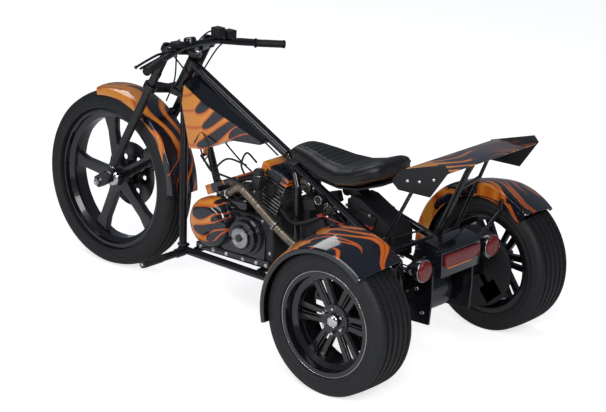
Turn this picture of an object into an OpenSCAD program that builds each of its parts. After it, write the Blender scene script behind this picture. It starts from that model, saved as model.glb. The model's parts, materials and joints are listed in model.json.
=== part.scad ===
// Custom three-wheeled motor trike: one raked front wheel in a fork, a V-twin slung in an
// open tube frame, two wide rear wheels on a solid axle, solo saddle and a small rear wing.
// Frame: +X forward, +Y left, +Z up, standing on its three tyres on z = 0.

/* [Stance] */
// Distance from rear axle to front axle
wheelbase = 1620; // [1400:10:2000]
// Distance between the rear tyres' middle planes
rear_track = 986; // [860:2:1200]
// Rake of the steering axis from the vertical, degrees
rake = 29; // [24:1:33]
// Distance by which the front tyre's contact trails the steering axis
trail = 114; // [90:1:150]
// Ride height of the frame rails' centre lines
rail_z = 205; // [170:1:240]

/* [Front wheel] */
// Outer radius of the front tyre
front_tyre_r = 376; // [310:1:400]
// Width of the front tyre
front_tyre_w = 150; // [110:1:160]
// Radius of the front rim's flange
front_rim_r = 297; // [230:1:320]
// Thickness of the front brake disc
front_disc_t = 5; // [4:0.5:7]

/* [Rear wheels] */
// Outer radius of the rear tyres
rear_tyre_r = 283; // [250:1:300]
// Width of the rear tyres
rear_tyre_w = 196; // [160:1:225]
// Radius of the rear rims' flange
rear_rim_r = 207; // [180:1:215]
// Radius of the rear brake discs
rear_disc_r = 125; // [105:1:140]

/* [Fork and bars] */
// Radius of a fork leg
leg_r = 18.5; // [16:0.5:24]
// Distance of a fork leg from the middle plane
leg_y = 116; // [100:1:135]
// Offset of the legs ahead of the steering axis
leg_offset = 56; // [40:1:70]
// How far the fork stands turned to the right, degrees
rest_steer = 3; // [0:0.5:10]
// Half width of the handlebar
bar_half_w = 392; // [320:1:450]
// Radius of the handlebar tube
bar_r = 12.7; // [11:0.1:16]
// Length of a rubber grip
grip_len = 128; // [100:1:140]

/* [Frame] */
// Radius of the backbone tube
backbone_r = 21; // [17:0.5:24]
// Radius of the down tubes and lower rails
tube_r = 16; // [12:0.5:19]
// Half spread of the lower rails at the front
rail_front_y = 140; // [115:1:165]
// Half spread of the lower rails at the rear
rail_rear_y = 185; // [165:1:215]
// Reach of the foot peg bar to each side
peg_reach = 400; // [300:5:450]

/* [Bodywork] */
// Wall of the fenders
fender_wall = 4; // [3:0.5:6]
// Gap between a rear tyre's tread and its fender
rear_fender_gap = 26; // [20:1:60]
// Gap between the front tyre's tread and its fender
front_fender_gap = 12; // [9:1:30]
// Half width of the tank at the front
tank_half_w = 90; // [70:1:100]
// Slope of the tank's upper bevel, degrees
tank_bevel = 26; // [10:1:40]
// Overall width of the wing between its end plates
wing_span = 560; // [460:5:680]
// Thickness of a wing end plate
plate_t = 4; // [3:0.5:6]
// Overall width of the saddle
seat_w = 292; // [240:2:320]

/* [Engine] */
// Width of the crankcase
case_w = 250; // [220:2:270]
// Radius of the round fan shroud
shroud_r = 104; // [90:1:112]
// Radius of the belt cover
cover_r = 112; // [95:1:118]

/* [Hidden] */
$fn = 48;

wing_tail_x = -320;                                   // rearmost point, from the rear axle
x_mid = (wheelbase + front_tyre_r + wing_tail_x) / 2; // middle of the length, from the rear axle
seat_gap = 0.3;                                       // clearance of seated pieces
run_gap = 6;                                          // clearance beside turning pieces
knuckle = 0.1;                                        // how far a bend's ball stands proud

// Steering axis, measured from the rear axle
trail_x = wheelbase + trail;                          // where the axis meets the ground
function on_axis(z) = [trail_x - z * tan(rake), 0, z];
function leg_pt(z) = on_axis(z) + (leg_offset / cos(rake)) * [1, 0, 0];

rear_y = rear_track / 2;
front_axle_pt = [wheelbase, 0, front_tyre_r];

// Main frame points, from the rear axle
neck_joint = on_axis(945);
saddle_joint = [690, 0, 672];
knee_x = 1122;                                        // front lower corner of the down tubes
rail_end_x = 330;
carrier_y = 130;                                      // outer face of the axle carrier's plates
strut_top = [604, 44, 648];
strut_low = [0, carrier_y + tube_r + seat_gap, 420];

function arc(cx, cy, r, a0, a1, n) =
  [for (i = [0:n]) [cx + r * cos(a0 + (a1 - a0) * i / n), cy + r * sin(a0 + (a1 - a0) * i / n)]];

// A round bar from a to b
module bar(a, b, r) {
  d = b - a;
  len = norm(d);
  translate(a) rotate([0, acos(d[2] / len), atan2(d[1], d[0])]) cylinder(h = len, r = r);
}

// A round bar through several points with ball corners
module bent_bar(pts, r) {
  for (i = [0:len(pts) - 2]) bar(pts[i], pts[i + 1], r);
  for (i = [1:len(pts) - 2]) translate(pts[i]) sphere(r = r + knuckle);
}

// Places what is measured from the rear axle into the part's own frame
module from_axle() { translate([-x_mid, 0, 0]) children(); }

// Turns the fork about the steering axis to the way it stands
module turned() {
  translate([trail_x, 0, 0]) rotate([0, -rake, 0]) rotate([0, 0, -rest_steer])
    rotate([0, rake, 0]) translate([-trail_x, 0, 0]) children();
}

module both_sides() { children(); mirror([0, 1, 0]) children(); }

// Turns a shape made about +Z so that its axis lies along +Y
module along_y() { rotate([-90, 0, 0]) children(); }

// A side profile in X and Z, pushed out to a half width each way
module slab(pts, half_w) {
  translate([0, half_w, 0]) rotate([90, 0, 0]) linear_extrude(2 * half_w) polygon(pts);
}

// ---------------------------------------------------------------- frame
post_r = 15;                                          // radius of the seat posts
post_top = [664, 30, 634];
neck_r = 27;                                          // radius of the steering neck

// The tail of the backbone ends between the tops of the two seat posts.
module backbone() color("#17171a") from_axle() {
  bar(on_axis(966), on_axis(838), neck_r);
  bar(neck_joint, saddle_joint, backbone_r);
  bar(saddle_joint, [post_top[0], 0, post_top[2]], post_top[1] - post_r - seat_gap);
}

down_top = on_axis(852) + [-34.5, neck_r, 0];
down_low = [knee_x, rail_front_y, rail_z + tube_r + 2.9];

module down_tubes() color("#17171a") from_axle() both_sides() bar(down_top, down_low, tube_r);

function rail_y(x) = rail_front_y + (rail_rear_y - rail_front_y) * (knee_x + 14 - x) / (knee_x + 14 - rail_end_x);

module lower_rails() color("#17171a") from_axle() both_sides()
  bent_bar([[knee_x + 14, rail_front_y, rail_z], [rail_end_x, rail_rear_y, rail_z],
            [60, carrier_y + tube_r + seat_gap, rear_tyre_r - 20]], tube_r);

cross_r = tube_r - 3;
case_bottom = rail_z + 20;

module cross_tubes() color("#17171a") from_axle()
  for (x = [knee_x - 60, 700])
    let (y = rail_y(x) - tube_r - 1.1, z = case_bottom - cross_r - seat_gap) bar([x, -y, z], [x, y, z], cross_r);

peg_free = 200;                                       // bare round end of a peg, beyond its shoulder
peg_r = 15;

module foot_pegs() color("#202024") from_axle() both_sides() {
  bar([knee_x - 20, rail_y(knee_x - 20) + tube_r + 1.2, rail_z],
      [knee_x - 20, peg_reach - peg_free, rail_z], peg_r + 4);
  bar([knee_x - 20, peg_reach - peg_free - peg_r, rail_z], [knee_x - 20, peg_reach, rail_z], peg_r);
}

module seat_posts() color("#17171a") from_axle() both_sides() difference() {
  bent_bar([post_top, [606, 50, 618], [582, 60, 570], [578, 66, rail_z + 66],
            [590, rail_y(590) - tube_r - 2, rail_z + 14]], post_r);
  bar(strut_top, strut_low, tube_r + seat_gap);
}

module rear_struts() color("#17171a") from_axle() both_sides()
  bent_bar([strut_top, strut_low, [-14, strut_low[1], rear_tyre_r + 40]], tube_r);

axle_r = 34;                                          // radius of the axle casing
spindle_r = 20;                                       // radius of the stub axles the rear hubs turn on
disc_y = -118;                                        // rear brake disc, from the wheel's middle plane
rear_disc_t = 10;                                     // thickness of the vented rear discs

module axle_carrier() color("#1a1a1d") from_axle() both_sides() difference() {
  translate([0, carrier_y, 0]) rotate([90, 0, 0]) linear_extrude(10)
    polygon([[-140, 196], [60, 192], [110, 250], [70, 330], [20, 372], [-30, 380], [-56, 430],
             [-150, 430], [-150, 300]]);
  translate([0, carrier_y + 20, rear_tyre_r]) rotate([90, 0, 0]) cylinder(h = 60, r = axle_r + seat_gap);
}

module rear_axle() color("#1d1d20") from_axle() {
  both_sides() along_y() translate([0, -rear_tyre_r, 70]) {
    cylinder(h = rear_y + disc_y - 12 - 70, r = axle_r);
    cylinder(h = rear_y - 70, r = spindle_r);
  }
  translate([0, -78, rear_tyre_r]) along_y() cylinder(h = 156, r = 92);
  translate([60, -40, rear_tyre_r - 45]) cube([90, 80, 90]);
}

module rear_calipers() color("#6b1713") from_axle() both_sides()
  translate([0, rear_y + disc_y, rear_tyre_r]) rotate([0, 130, 0]) difference() {
    union() {
      translate([rear_disc_r - 48, -22, -48]) cube([74, 44, 96]);
      translate([axle_r + seat_gap, -22, -16]) cube([60, 9, 32]);
    }
    translate([0, -rear_disc_t / 2 - run_gap, -70]) cube([rear_disc_r + run_gap, rear_disc_t + 2 * run_gap, 140]);
  }

// ---------------------------------------------------------------- tank
tank_drop = 24;                                       // tank's ridge below the backbone's centre line
backbone_tilt = atan2(neck_joint[2] - saddle_joint[2], neck_joint[0] - saddle_joint[0]);

module fuel_tank() color("#e07a22") from_axle() {
  tank_body();
  fuel_tap();
}

module tank_body() difference() {
  intersection() {
    slab([[1168, 906], [1184, 800], [1140, 620], [1060, 630], [945, 690], [800, 694],
          [790, 726]], 120);
    linear_extrude(1200) polygon([[1220, tank_half_w], [1060, tank_half_w], [770, 40],
                                  [770, -40], [1060, -tank_half_w], [1220, -tank_half_w]]);
  }
  both_sides() translate(neck_joint + [0, backbone_r, -tank_drop + 16]) rotate([0, -backbone_tilt, 0])
    rotate([-tank_bevel, 0, 0]) translate([-620, -120, 0]) cube([800, 320, 200]);
  bar(neck_joint, saddle_joint, backbone_r + seat_gap);
  both_sides() bar(down_top, down_low, tube_r + seat_gap);
  bar(on_axis(966), on_axis(820), 28);
}

// A fuel tap hanging under the tank
module fuel_tap() {
  bar([1085, 52, 598], [1085, 52, 640], 9);
  bar([1085, 40, 598], [1085, 74, 598], 7);
}

module fuel_hose() color("#161616") from_axle()
  bent_bar([[1085, 78.9, 598], [1004, 98, 552], [862, 102, 544], [carb[0] + carb_r + 2.1, carb[1], 584]], 4.5);

// ---------------------------------------------------------------- engine
module engine_block() color("#1c1c1e") from_axle() {
  translate([650, -case_w / 2, case_bottom]) cube([400, case_w, case_top - case_bottom]);
}

case_top = 430;                                       // top of the crankcase
fin_pitch = 15;
head_h = 46;                                          // height of a cylinder head

// A finned cylinder on the crankcase: foot, lean forward in degrees, and height to the head's top
module one_cylinder(foot, lean, height) translate(foot) rotate([0, lean, 0]) {
  cylinder(h = height, r = 50);
  for (z = [16:fin_pitch:height - head_h - 10]) translate([-62, -66, z]) cube([124, 132, 6]);
  translate([-66, -70, height - head_h]) cube([132, 140, head_h]);
}

front_foot = [912, 0, case_top - 24];
rear_foot = [762, 0, case_top - 24];
front_lean = 24;
rear_lean = -20;
front_height = 120;
rear_height = 222;
function cyl_top(foot, lean, h) = foot + (h + seat_gap) * [sin(lean), 0, cos(lean)];

module cylinders() color("#8b8b8d") from_axle() difference() {
  union() {
    one_cylinder(front_foot, front_lean, front_height);
    one_cylinder(rear_foot, rear_lean, rear_height);
  }
  translate([600, -200, case_top - 200]) cube([500, 400, 200 + seat_gap]);
}

module fan_shroud() color("#e0862a") from_axle()
  translate([955, case_w / 2 + seat_gap, 362]) along_y() {
    cylinder(h = 44, r = shroud_r);
    translate([0, 0, 44]) cylinder(h = 24, r1 = shroud_r, r2 = shroud_r - 30);
  }

module belt_cover() color("#1a1a1c") from_axle()
  translate([770, case_w / 2 + seat_gap, 346]) along_y() {
    cylinder(h = 56, r = cover_r - 44);
    cylinder(h = 30, r = cover_r - 33);
    translate([0, 0, 56 + seat_gap]) cylinder(h = 10, r = 46);
    translate([0, 0, 66]) cylinder(h = 10, r = 15);
  }

// A thin lid over a cylinder head: length, width, height, wall, and how far it reaches ahead
module cowl(l, w, h, t, ahead) difference() {
  translate([ahead - l, -w / 2, -h + t]) cube([l, w, h]);
  translate([ahead - l + t, -w / 2 + t, -h]) cube([l - 2 * t, w - 2 * t, h]);
}

module cylinder_cowls() color("#e0862a") from_axle() {
  translate(cyl_top(front_foot, front_lean, front_height)) rotate([0, front_lean, 0]) cowl(190, 164, 40, 5, 106);
  translate(cyl_top(rear_foot, rear_lean, rear_height)) rotate([0, rear_lean, 0]) cowl(146, 152, 50, 5, 73);
}

carb = [754, 98, 616];                                // top of the carburettor
carb_r = 15;

module carburettor() color("#2b2b2d") from_axle() bar([carb[0], carb[1], case_top + seat_gap], carb, carb_r);

exhaust_r = 19;

module exhaust() color("#7d7266") from_axle() both_sides()
  bent_bar([[919, 70.3, 471], [919, 98, 471], [872, 124, 506], [830, 142, 533], [778, 150, 528], [560, 158, 396],
            [380, 160, 330], [250, 160, 305]], exhaust_r);

seat_under = 633;                                     // lowest face of the seat pan

module battery_box() color("#121214") from_axle() difference() {
  union() {
    slab([[96, 384], [300, 384], [330, 430], [330, 580], [304, 596], [270, 592], [118, 512], [96, 480]], 58);
    slab([[270, 586], [300, 586], [330, 570], [376, seat_under - seat_gap], [334, seat_under - seat_gap]], 30);
    translate([286, -86, 526]) cube([30, 172, 16]);
  }
  both_sides() bar(strut_top, strut_low, tube_r + seat_gap);
}

// ---------------------------------------------------------------- saddle
module seat_profile() polygon(concat(
  [[664, 690]], arc(606, 684, 56, 165, 95, 6), [[560, 738], [500, 732], [420, 718], [340, 714],
  [250, 734], [170, 762], [108, 773]], arc(90, 726, 46, 76, -20, 6),
  [[122, 692], [226, 656], [330, 640], [430, 640], [520, 656], [600, 684]]));

module seat_plan() polygon(concat(
  [[664, 0], [650, 52], [600, 76], [520, 92], [420, 120], [330, seat_w / 2 - 4], [230, seat_w / 2],
   [124, seat_w / 2 - 12], [62, 92], [34, 40]],
  [[34, -40], [62, -92], [124, -seat_w / 2 + 12], [230, -seat_w / 2], [330, -seat_w / 2 + 4],
   [420, -120], [520, -92], [600, -76], [650, -52]]));

module seat_cushion() color("#2c2c31") from_axle() intersection() {
  translate([0, 200, 0]) rotate([90, 0, 0]) linear_extrude(400) seat_profile();
  linear_extrude(1000) seat_plan();
}

module seat_pan() color("#151517") from_axle() intersection() {
  translate([0, 200, 0]) rotate([90, 0, 0]) linear_extrude(400)
    polygon([[520, 655.7], [430, 639.7], [330, 639.7], [226, 655.7], [122, 691.7],
             [122, 685], [226, 649], [330, seat_under], [430, seat_under], [520, 649]]);
  linear_extrude(1000) offset(delta = -22) seat_plan();
}

// ---------------------------------------------------------------- fenders
// Cross-section of a fender about its own axis: half width w, crown height c, lip depth l
module fender_section(r, w, c, l, t) polygon([
  [r - l, -w], [r - 4, -w], [r, -w + 8], [r + c, -w / 2], [r + c + 2, 0], [r + c, w / 2], [r, w - 8],
  [r - 4, w], [r - l, w], [r - l, w - t], [r - t - 4, w - t], [r - t, w - 8 - t], [r + c - t, w / 2],
  [r + c + 2 - t, 0], [r + c - t, -w / 2], [r - t, -w + 8 + t], [r - t - 4, -w + t], [r - l, -w + t]]);

// Cross-section of a rear fender, from its inner side to its outer one: a ridge of radius r on
// the inner side with a skirt, a top falling away outward by drop, and a rolled outer lip
module rear_fender_section(r, w, drop, skirt, l, t) polygon([
  [r - skirt, -w], [r - 8, -w], [r, -w + 9], [r - 5, -w / 3], [r - drop / 2, w / 3], [r - drop, w - 7],
  [r - drop - 6, w], [r - drop - l, w], [r - drop - l, w - t], [r - drop - 6 - t / 2, w - t],
  [r - drop - t, w - 7 - t], [r - drop / 2 - t, w / 3 - 1], [r - 5 - t, -w / 3], [r - t, -w + 9 + t / 2],
  [r - 8 - t / 2, -w + t], [r - skirt, -w + t]]);

rear_fender_c = [12, 0, rear_tyre_r + 8];             // a rear fender's own centre
rear_fender_r = rear_tyre_r + rear_fender_gap + 18;
rear_fender_w = rear_tyre_w / 2 + 13;
rear_fender_drop = 38;                                // outer edge below the ridge
rear_skirt = 62;                                      // depth of the inner skirt
rear_lip = 22;                                        // depth of the outer lip

module rear_fender() translate(rear_fender_c + [0, rear_y, 0]) along_y()
  rotate([0, 0, 228]) rotate_extrude(angle = 146)
    rear_fender_section(rear_fender_r, rear_fender_w, rear_fender_drop, rear_skirt, rear_lip, fender_wall);

module rear_fender_left() color("#e07a22") from_axle() rear_fender();
module rear_fender_right() color("#e07a22") from_axle() mirror([0, 1, 0]) rear_fender();

stay_y = rear_y - rear_fender_w - 8 - seat_gap;       // upright end of a stay, beside the lip

module fender_stays() color("#17171a") from_axle() both_sides()
  for (x = [-92, 120])
    bent_bar([[x / 3 - 4, carrier_y + 5.8, 352], [x, 300, 486], [x, stay_y, 530], [x, stay_y, 574]], 8);

// ---------------------------------------------------------------- wing and tail
wing_lead = [-86, 822];
wing_trail = [-312, 868];

module wing_blade() color("#e07a22") from_axle()
  slab(concat([wing_trail, [-200, 861], [-120, 846], wing_lead], blade_under), wing_span / 2 - plate_t - seat_gap);

module wing_plates() color("#1b1b1c") from_axle() both_sides()
  translate([0, wing_span / 2, 0]) rotate([90, 0, 0]) linear_extrude(plate_t)
    polygon([[-98, 838], [-60, 790], [-64, 776], [-88, 757], [-238, 760], [wing_tail_x, 874],
             [-298, 896]]);

wing_foot_x = 28;                                     // cross bar under the wing's side struts
strut_slope = atan2(strut_top[2] - strut_low[2], strut_top[0] - strut_low[0]);
wing_foot_z = strut_low[2] + wing_foot_x * tan(strut_slope) + (tube_r + 9 + seat_gap) / cos(strut_slope);
blade_under = [[-124, 832], [-200, 846], [-310, 862]]; // the blade's underside
tail_top = [[-40, 430], [-60, 500], [-100, 522], [-160, 512], [-184, 490]];

module wing_struts() color("#131314") from_axle() difference() {
  union() {
    both_sides() bar([-162, 213, 848], [wing_foot_x, 250, wing_foot_z], 7.5);
    bar([wing_foot_x, -258, wing_foot_z], [wing_foot_x, 258, wing_foot_z], 9);
    bent_bar([[-229, 0, 858], [-214, 0, 818], [-196, 0, 786], [-64, 0, 502]], 12);
    bar([-162, 0, 712], [-88, -227, 694], 9);
  }
  slab(concat([for (p = blade_under) p - [0, seat_gap]], [[-310, 990], [-124, 990]]), wing_span / 2);
  slab(concat([for (p = tail_top) p + [0.1, seat_gap]], [[-184, 392], [-60, 392]]), 60);
}

tail_w = carrier_y - 10 - seat_gap;                   // half width of the tail housing
lamp_pos = [-109, 212, 442];                          // round lamps: front face and middle

module tail_housing() color("#101012") from_axle() {
  slab(concat(tail_top, [[-184, 392], [-60, 392]]), tail_w);
  bar([lamp_pos[0] + 9, -lamp_pos[1], lamp_pos[2]], [lamp_pos[0] + 9, lamp_pos[1], lamp_pos[2]], 9);
}

module lamp_bodies() color("#101012") from_axle() both_sides()
  translate(lamp_pos - [seat_gap, 0, 0]) rotate([0, -90, 0]) cylinder(h = 66, r = 44);

module lamp_lenses() color("#c01810") from_axle() {
  translate([-196, -108, 434]) cube([12 - seat_gap, 216, 48]);
  both_sides() translate(lamp_pos - [66 + 2 * seat_gap, 0, 0]) rotate([0, -90, 0]) cylinder(h = 14, r = 40);
}

// ---------------------------------------------------------------- fork
leg_top = leg_pt(1016);
leg_low = leg_pt(405);

module fork_legs() color("#141416") from_axle() turned() both_sides() translate([0, leg_y, 0]) {
  bar(leg_top, leg_low, leg_r);
  difference() {
    slab([[leg_low[0] - 16, 420], [leg_low[0] + 14, 428], [wheelbase + 20, 394],
          [wheelbase + 22, 362], [wheelbase - 6, 352], [leg_low[0] - 16, 386]], leg_r - 3);
    translate([wheelbase, -60, front_tyre_r]) along_y() cylinder(h = 120, r = 10 + 0.05);
  }
}

// A fork yoke square to the legs, centred on the steering axis at height z
module yoke(z, t) translate(on_axis(z)) rotate([0, -rake, 0]) difference() {
  union() {
    translate([0, 0, -t / 2]) linear_extrude(t) polygon([
      [-16, -16], [-16, 16], [14, 40], [28, leg_y - 20], [leg_offset, leg_y + leg_r + 10],
      [leg_offset + leg_r + 10, leg_y], [44, 34], [44, -34], [leg_offset + leg_r + 10, -leg_y],
      [leg_offset, -leg_y - leg_r - 10], [28, -leg_y + 20], [14, -40]]);
    both_sides() translate([leg_offset, leg_y, -t / 2]) cylinder(h = t, r = leg_r + 11);
  }
  both_sides() translate([leg_offset, leg_y, -t]) cylinder(h = 2 * t, r = leg_r + 0.05);
}

module fork_yokes() color("#18181a") from_axle() turned() {
  yoke(yoke_top, yoke_t);
  yoke(814, 28);
  bar(on_axis(836), on_axis(815), 15);
}

front_disc_y = -66;                                   // middle of the front brake disc
caliper_out = front_disc_y + leg_y - leg_r - seat_gap; // from the disc out to the right leg
axle_reach = leg_y + 24;                              // half length of the front axle with its nuts

module front_axle() color("#9a9a9c") from_axle() turned()
  translate([wheelbase, -axle_reach, front_tyre_r]) along_y() {
    cylinder(h = 2 * axle_reach, r = 10);
    for (y = [0, 2 * axle_reach - 8]) translate([0, 0, y]) cylinder(h = 8, r = 15);
  }

module front_caliper() color("#202022") from_axle() turned()
  translate([wheelbase, front_disc_y, front_tyre_r]) rotate([0, 35, 0]) translate([-150, 0, 0]) difference() {
    translate([-20, -caliper_out, -40]) cube([52, caliper_out + 16, 96]);
    translate([-10, -front_disc_t / 2 - run_gap, -50]) cube([80, front_disc_t + 2 * run_gap, 130]);
  }

yoke_top = 990;                                       // height of the upper yoke on the axis
yoke_t = 24;
riser_foot = on_axis(yoke_top) + (yoke_t / 2 + seat_gap) * [-sin(rake), 0, cos(rake)]
  + 27 * [cos(rake), 0, sin(rake)];
bar_pts = [[1170, 0, 1038], [1168, 100, 1033], [1136, 230, 1012], [1072, bar_half_w - 4, 996]];

module handlebar() color("#1a1a1c") from_axle() turned() {
  both_sides() bent_bar(bar_pts, bar_r);
  sphere_at(bar_pts[0], bar_r + knuckle);
  for (y = [-38, 38]) {
    bar(riser_foot + [0, y, 0], riser_foot + [0, y, 0] + 14 * [-sin(rake), 0, cos(rake)], 15);
    bar(riser_foot + [0, y, 0] + 14 * [-sin(rake), 0, cos(rake)], bar_pts[0] + [0, y, -2], 13);
    sphere_at(riser_foot + [0, y, 0] + 14 * [-sin(rake), 0, cos(rake)], 13 + knuckle);
  }
}

module sphere_at(p, r) translate(p) sphere(r = r);

function along(a, b, t) = a + (b - a) * t;
bar_tail = bar_pts[3] - bar_pts[2];
bar_tail_len = norm(bar_tail);

module grips() color("#242428") from_axle() turned() both_sides() difference() {
  bar(along(bar_pts[2], bar_pts[3], 1 - grip_len / bar_tail_len), bar_pts[3] + bar_tail * (4 / bar_tail_len), 17);
  bar(bar_pts[2], bar_pts[3], bar_r + seat_gap);
}

// Height of the bar's centre line at a distance y from the middle, and how far forward it is
function bar_at(y) = let (h = abs(y), i = h < bar_pts[1][1] ? 0 : h < bar_pts[2][1] ? 1 : 2,
  t = (h - bar_pts[i][1]) / (bar_pts[i + 1][1] - bar_pts[i][1])) along(bar_pts[i], bar_pts[i + 1], t);

// A box clamped on top of the bar at y: width across, length, height
module on_bar(y, w, l, h) translate([bar_at(y)[0] - l / 2, y - w / 2, max(bar_at(abs(y) - w / 2)[2],
  bar_at(abs(y) + w / 2)[2]) + bar_r + seat_gap]) cube([l, w, h]);

// A lever with its perch, seated against the front of the bar
module lever() {
  a = bar_at(156) + [bar_r + 9, 0, 0];
  b = bar_at(188) + [bar_r + 9, 0, 0];
  bar(a, b, 8);
  bar(along(a, b, 0.8), [bar_at(350)[0] + 62, 350, bar_at(350)[2] - 14], 5);
}

module bar_controls() color("#1c1c1e") from_axle() turned() {
  on_bar(138, 44, 42, 20);
  on_bar(-100, 40, 44, 42);
  on_bar(-152, 44, 42, 32);
  both_sides() lever();
}

// ---------------------------------------------------------------- front fender
front_fender_w = front_tyre_w / 2;
front_fender_r = front_tyre_r + front_fender_gap + fender_wall;

module front_fender() color("#e07a22") from_axle() turned()
  translate(front_axle_pt) along_y() rotate([0, 0, 182]) rotate_extrude(angle = 100)
    fender_section(front_fender_r, front_fender_w, 5, 34, fender_wall);

lug_z = 696;                                          // where the legs carry the front fender

module fender_lugs() color("#131314") from_axle() turned() both_sides()
  bar([leg_pt(lug_z)[0], front_fender_w + seat_gap, lug_z], [leg_pt(lug_z)[0], leg_y - leg_r - seat_gap, lug_z], 9);

// ---------------------------------------------------------------- wheels
// A tyre about Z: outer radius ro, width w, bead radius ri, half distance b between the rim's
// flanges, flange radius rf, rubber wall t, shoulder radius s and crown, the tread's fall
module tyre(ro, w, ri, b, rf, t, s, crown) rotate_extrude($fn = 96) polygon(concat(
  [[ri, -b + 16], [ri, -b], [rf + 3, -b - 1]],
  arc(ro - crown - s, -w / 2 + s, s, -90, -16, 4), [[ro - crown / 4, -w / 7], [ro, 0],
  [ro - crown / 4, w / 7]], arc(ro - crown - s, w / 2 - s, s, 16, 90, 4),
  [[rf + 3, b + 1], [ri, b], [ri, b - 16], [rf + 3, b - t], [ro - crown - s - 6, w / 2 - t],
   [ro - crown - t - 2, w / 2 - s], [ro - crown - t - 2, -w / 2 + s],
   [ro - crown - s - 6, -w / 2 + t], [rf + 3, -b + t]]));

// A rim barrel about Z: flange radius rf, half width hw, bead seat radius rs, width of the slopes
module barrel(rf, hw, rs, slope) rotate_extrude($fn = 96) polygon([
  [rs - 7, -hw], [rf, -hw], [rf, -hw + 6], [rs, -hw + 8], [rs, -hw + slope - 10], [rs - 22, -hw + slope],
  [rs - 22, hw - slope], [rs, hw - slope + 10], [rs, hw - 8], [rf, hw - 6], [rf, hw], [rs - 7, hw],
  [rs - 7, hw - slope + 12], [rs - 29, hw - slope + 2], [rs - 29, -hw + slope - 2], [rs - 7, -hw + slope - 12]]);

front_rim_hw = front_tyre_w / 2 - 16;
rear_rim_hw = rear_tyre_w / 2 - 9;

front_bore_r = 10.05;                                 // bore of the front hub on its axle

module front_rim() color("#101012") from_axle() turned() translate(front_axle_pt) along_y() difference() {
  union() {
    barrel(front_rim_r, front_rim_hw, front_rim_r - 9, 34);
    translate([0, 0, -46]) cylinder(h = 92, r = 38);
    translate([0, 0, -17]) cylinder(h = 34, r = 56);
    for (a = [-77:72:270]) rotate(a) translate([0, 0, -15]) linear_extrude(30)
      polygon([[20, -30], [90, -22], [200, -21], [262, -34], [262, 34], [200, 21], [90, 22], [20, 30]]);
  }
  translate([0, 0, -80]) cylinder(h = 160, r = front_bore_r);
}

module front_disc() color("#8b8b8d") from_axle() turned() translate(front_axle_pt) along_y()
  translate([0, 0, front_disc_y - front_disc_t / 2]) difference() {
    union() {
      cylinder(h = front_disc_t, r = 138);
      cylinder(h = -46 - seat_gap - front_disc_y + front_disc_t / 2, r = 58);
    }
    for (a = [0:60:359]) rotate(a) translate([78, 0, -1]) cylinder(h = front_disc_t + 2, r = 12);
    translate([0, 0, -1]) cylinder(h = 40, r = front_bore_r);
  }

module front_tyre() color("#26262a") from_axle() turned() translate(front_axle_pt) along_y()
  tyre(front_tyre_r, front_tyre_w, front_rim_r - 9 + seat_gap,
       front_rim_hw - 8 - seat_gap, front_rim_r, 11, 34, 12);

spoke_face = 20;                                      // rear spoke face, out from the middle plane

module rear_wheel_metal() difference() {
  union() {
    barrel(rear_rim_r, rear_rim_hw, rear_rim_r - 14, 46);
    translate([0, 0, spoke_face - 26]) cylinder(h = 34, r = 62);
    translate([0, 0, spoke_face + 8]) cylinder(h = 14, r = 30);
    for (a = [0:60:359]) rotate(a) translate([0, 0, spoke_face - 22]) linear_extrude(22) {
      polygon([[40, 8], [172, 14], [172, 36], [52, 26]]);
      polygon([[40, -8], [172, -14], [172, -36], [52, -26]]);
    }
    translate([0, 0, disc_y + rear_disc_t / 2 - 1]) cylinder(h = -disc_y, r = 44);
    translate([0, 0, disc_y - rear_disc_t / 2]) cylinder(h = rear_disc_t, r = rear_disc_r);
  }
  translate([0, 0, disc_y - 20]) cylinder(h = 20 - disc_y + seat_gap, r = spindle_r + 0.05);
}

module rear_tyre() tyre(rear_tyre_r, rear_tyre_w, rear_rim_r - 14 + seat_gap,
  rear_rim_hw - 8 - seat_gap, rear_rim_r, 12, 30, 2);

module rear_place() translate([0, rear_y, rear_tyre_r]) along_y() children();

module rear_left_rim() color("#101012") from_axle() rear_place() rear_wheel_metal();
module rear_left_tyre() color("#2b2c30") from_axle() rear_place() rear_tyre();
module rear_right_rim() color("#101012") from_axle() mirror([0, 1, 0]) rear_place() rear_wheel_metal();
module rear_right_tyre() color("#2b2c30") from_axle() mirror([0, 1, 0]) rear_place() rear_tyre();

backbone();
down_tubes();
lower_rails();
cross_tubes();
foot_pegs();
seat_posts();
rear_struts();
axle_carrier();
rear_axle();
rear_calipers();
fuel_tank();
fuel_hose();
engine_block();
cylinders();
fan_shroud();
belt_cover();
cylinder_cowls();
carburettor();
exhaust();
battery_box();
seat_cushion();
seat_pan();
rear_fender_left();
rear_fender_right();
fender_stays();
wing_blade();
wing_plates();
wing_struts();
tail_housing();
lamp_bodies();
lamp_lenses();
fork_legs();
fork_yokes();
front_axle();
front_caliper();
handlebar();
grips();
bar_controls();
front_fender();
fender_lugs();
front_rim();
front_disc();
front_tyre();
rear_left_rim();
rear_left_tyre();
rear_right_rim();
rear_right_tyre();
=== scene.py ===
"""Looks of the motorized trike: finishes, fine shapes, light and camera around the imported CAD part."""

import json
import logging
import math
from dataclasses import dataclass, field
from enum import Enum
from typing import Callable, Optional, Sequence

import bmesh
import bpy
from mathutils import Euler, Matrix, Vector

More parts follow.
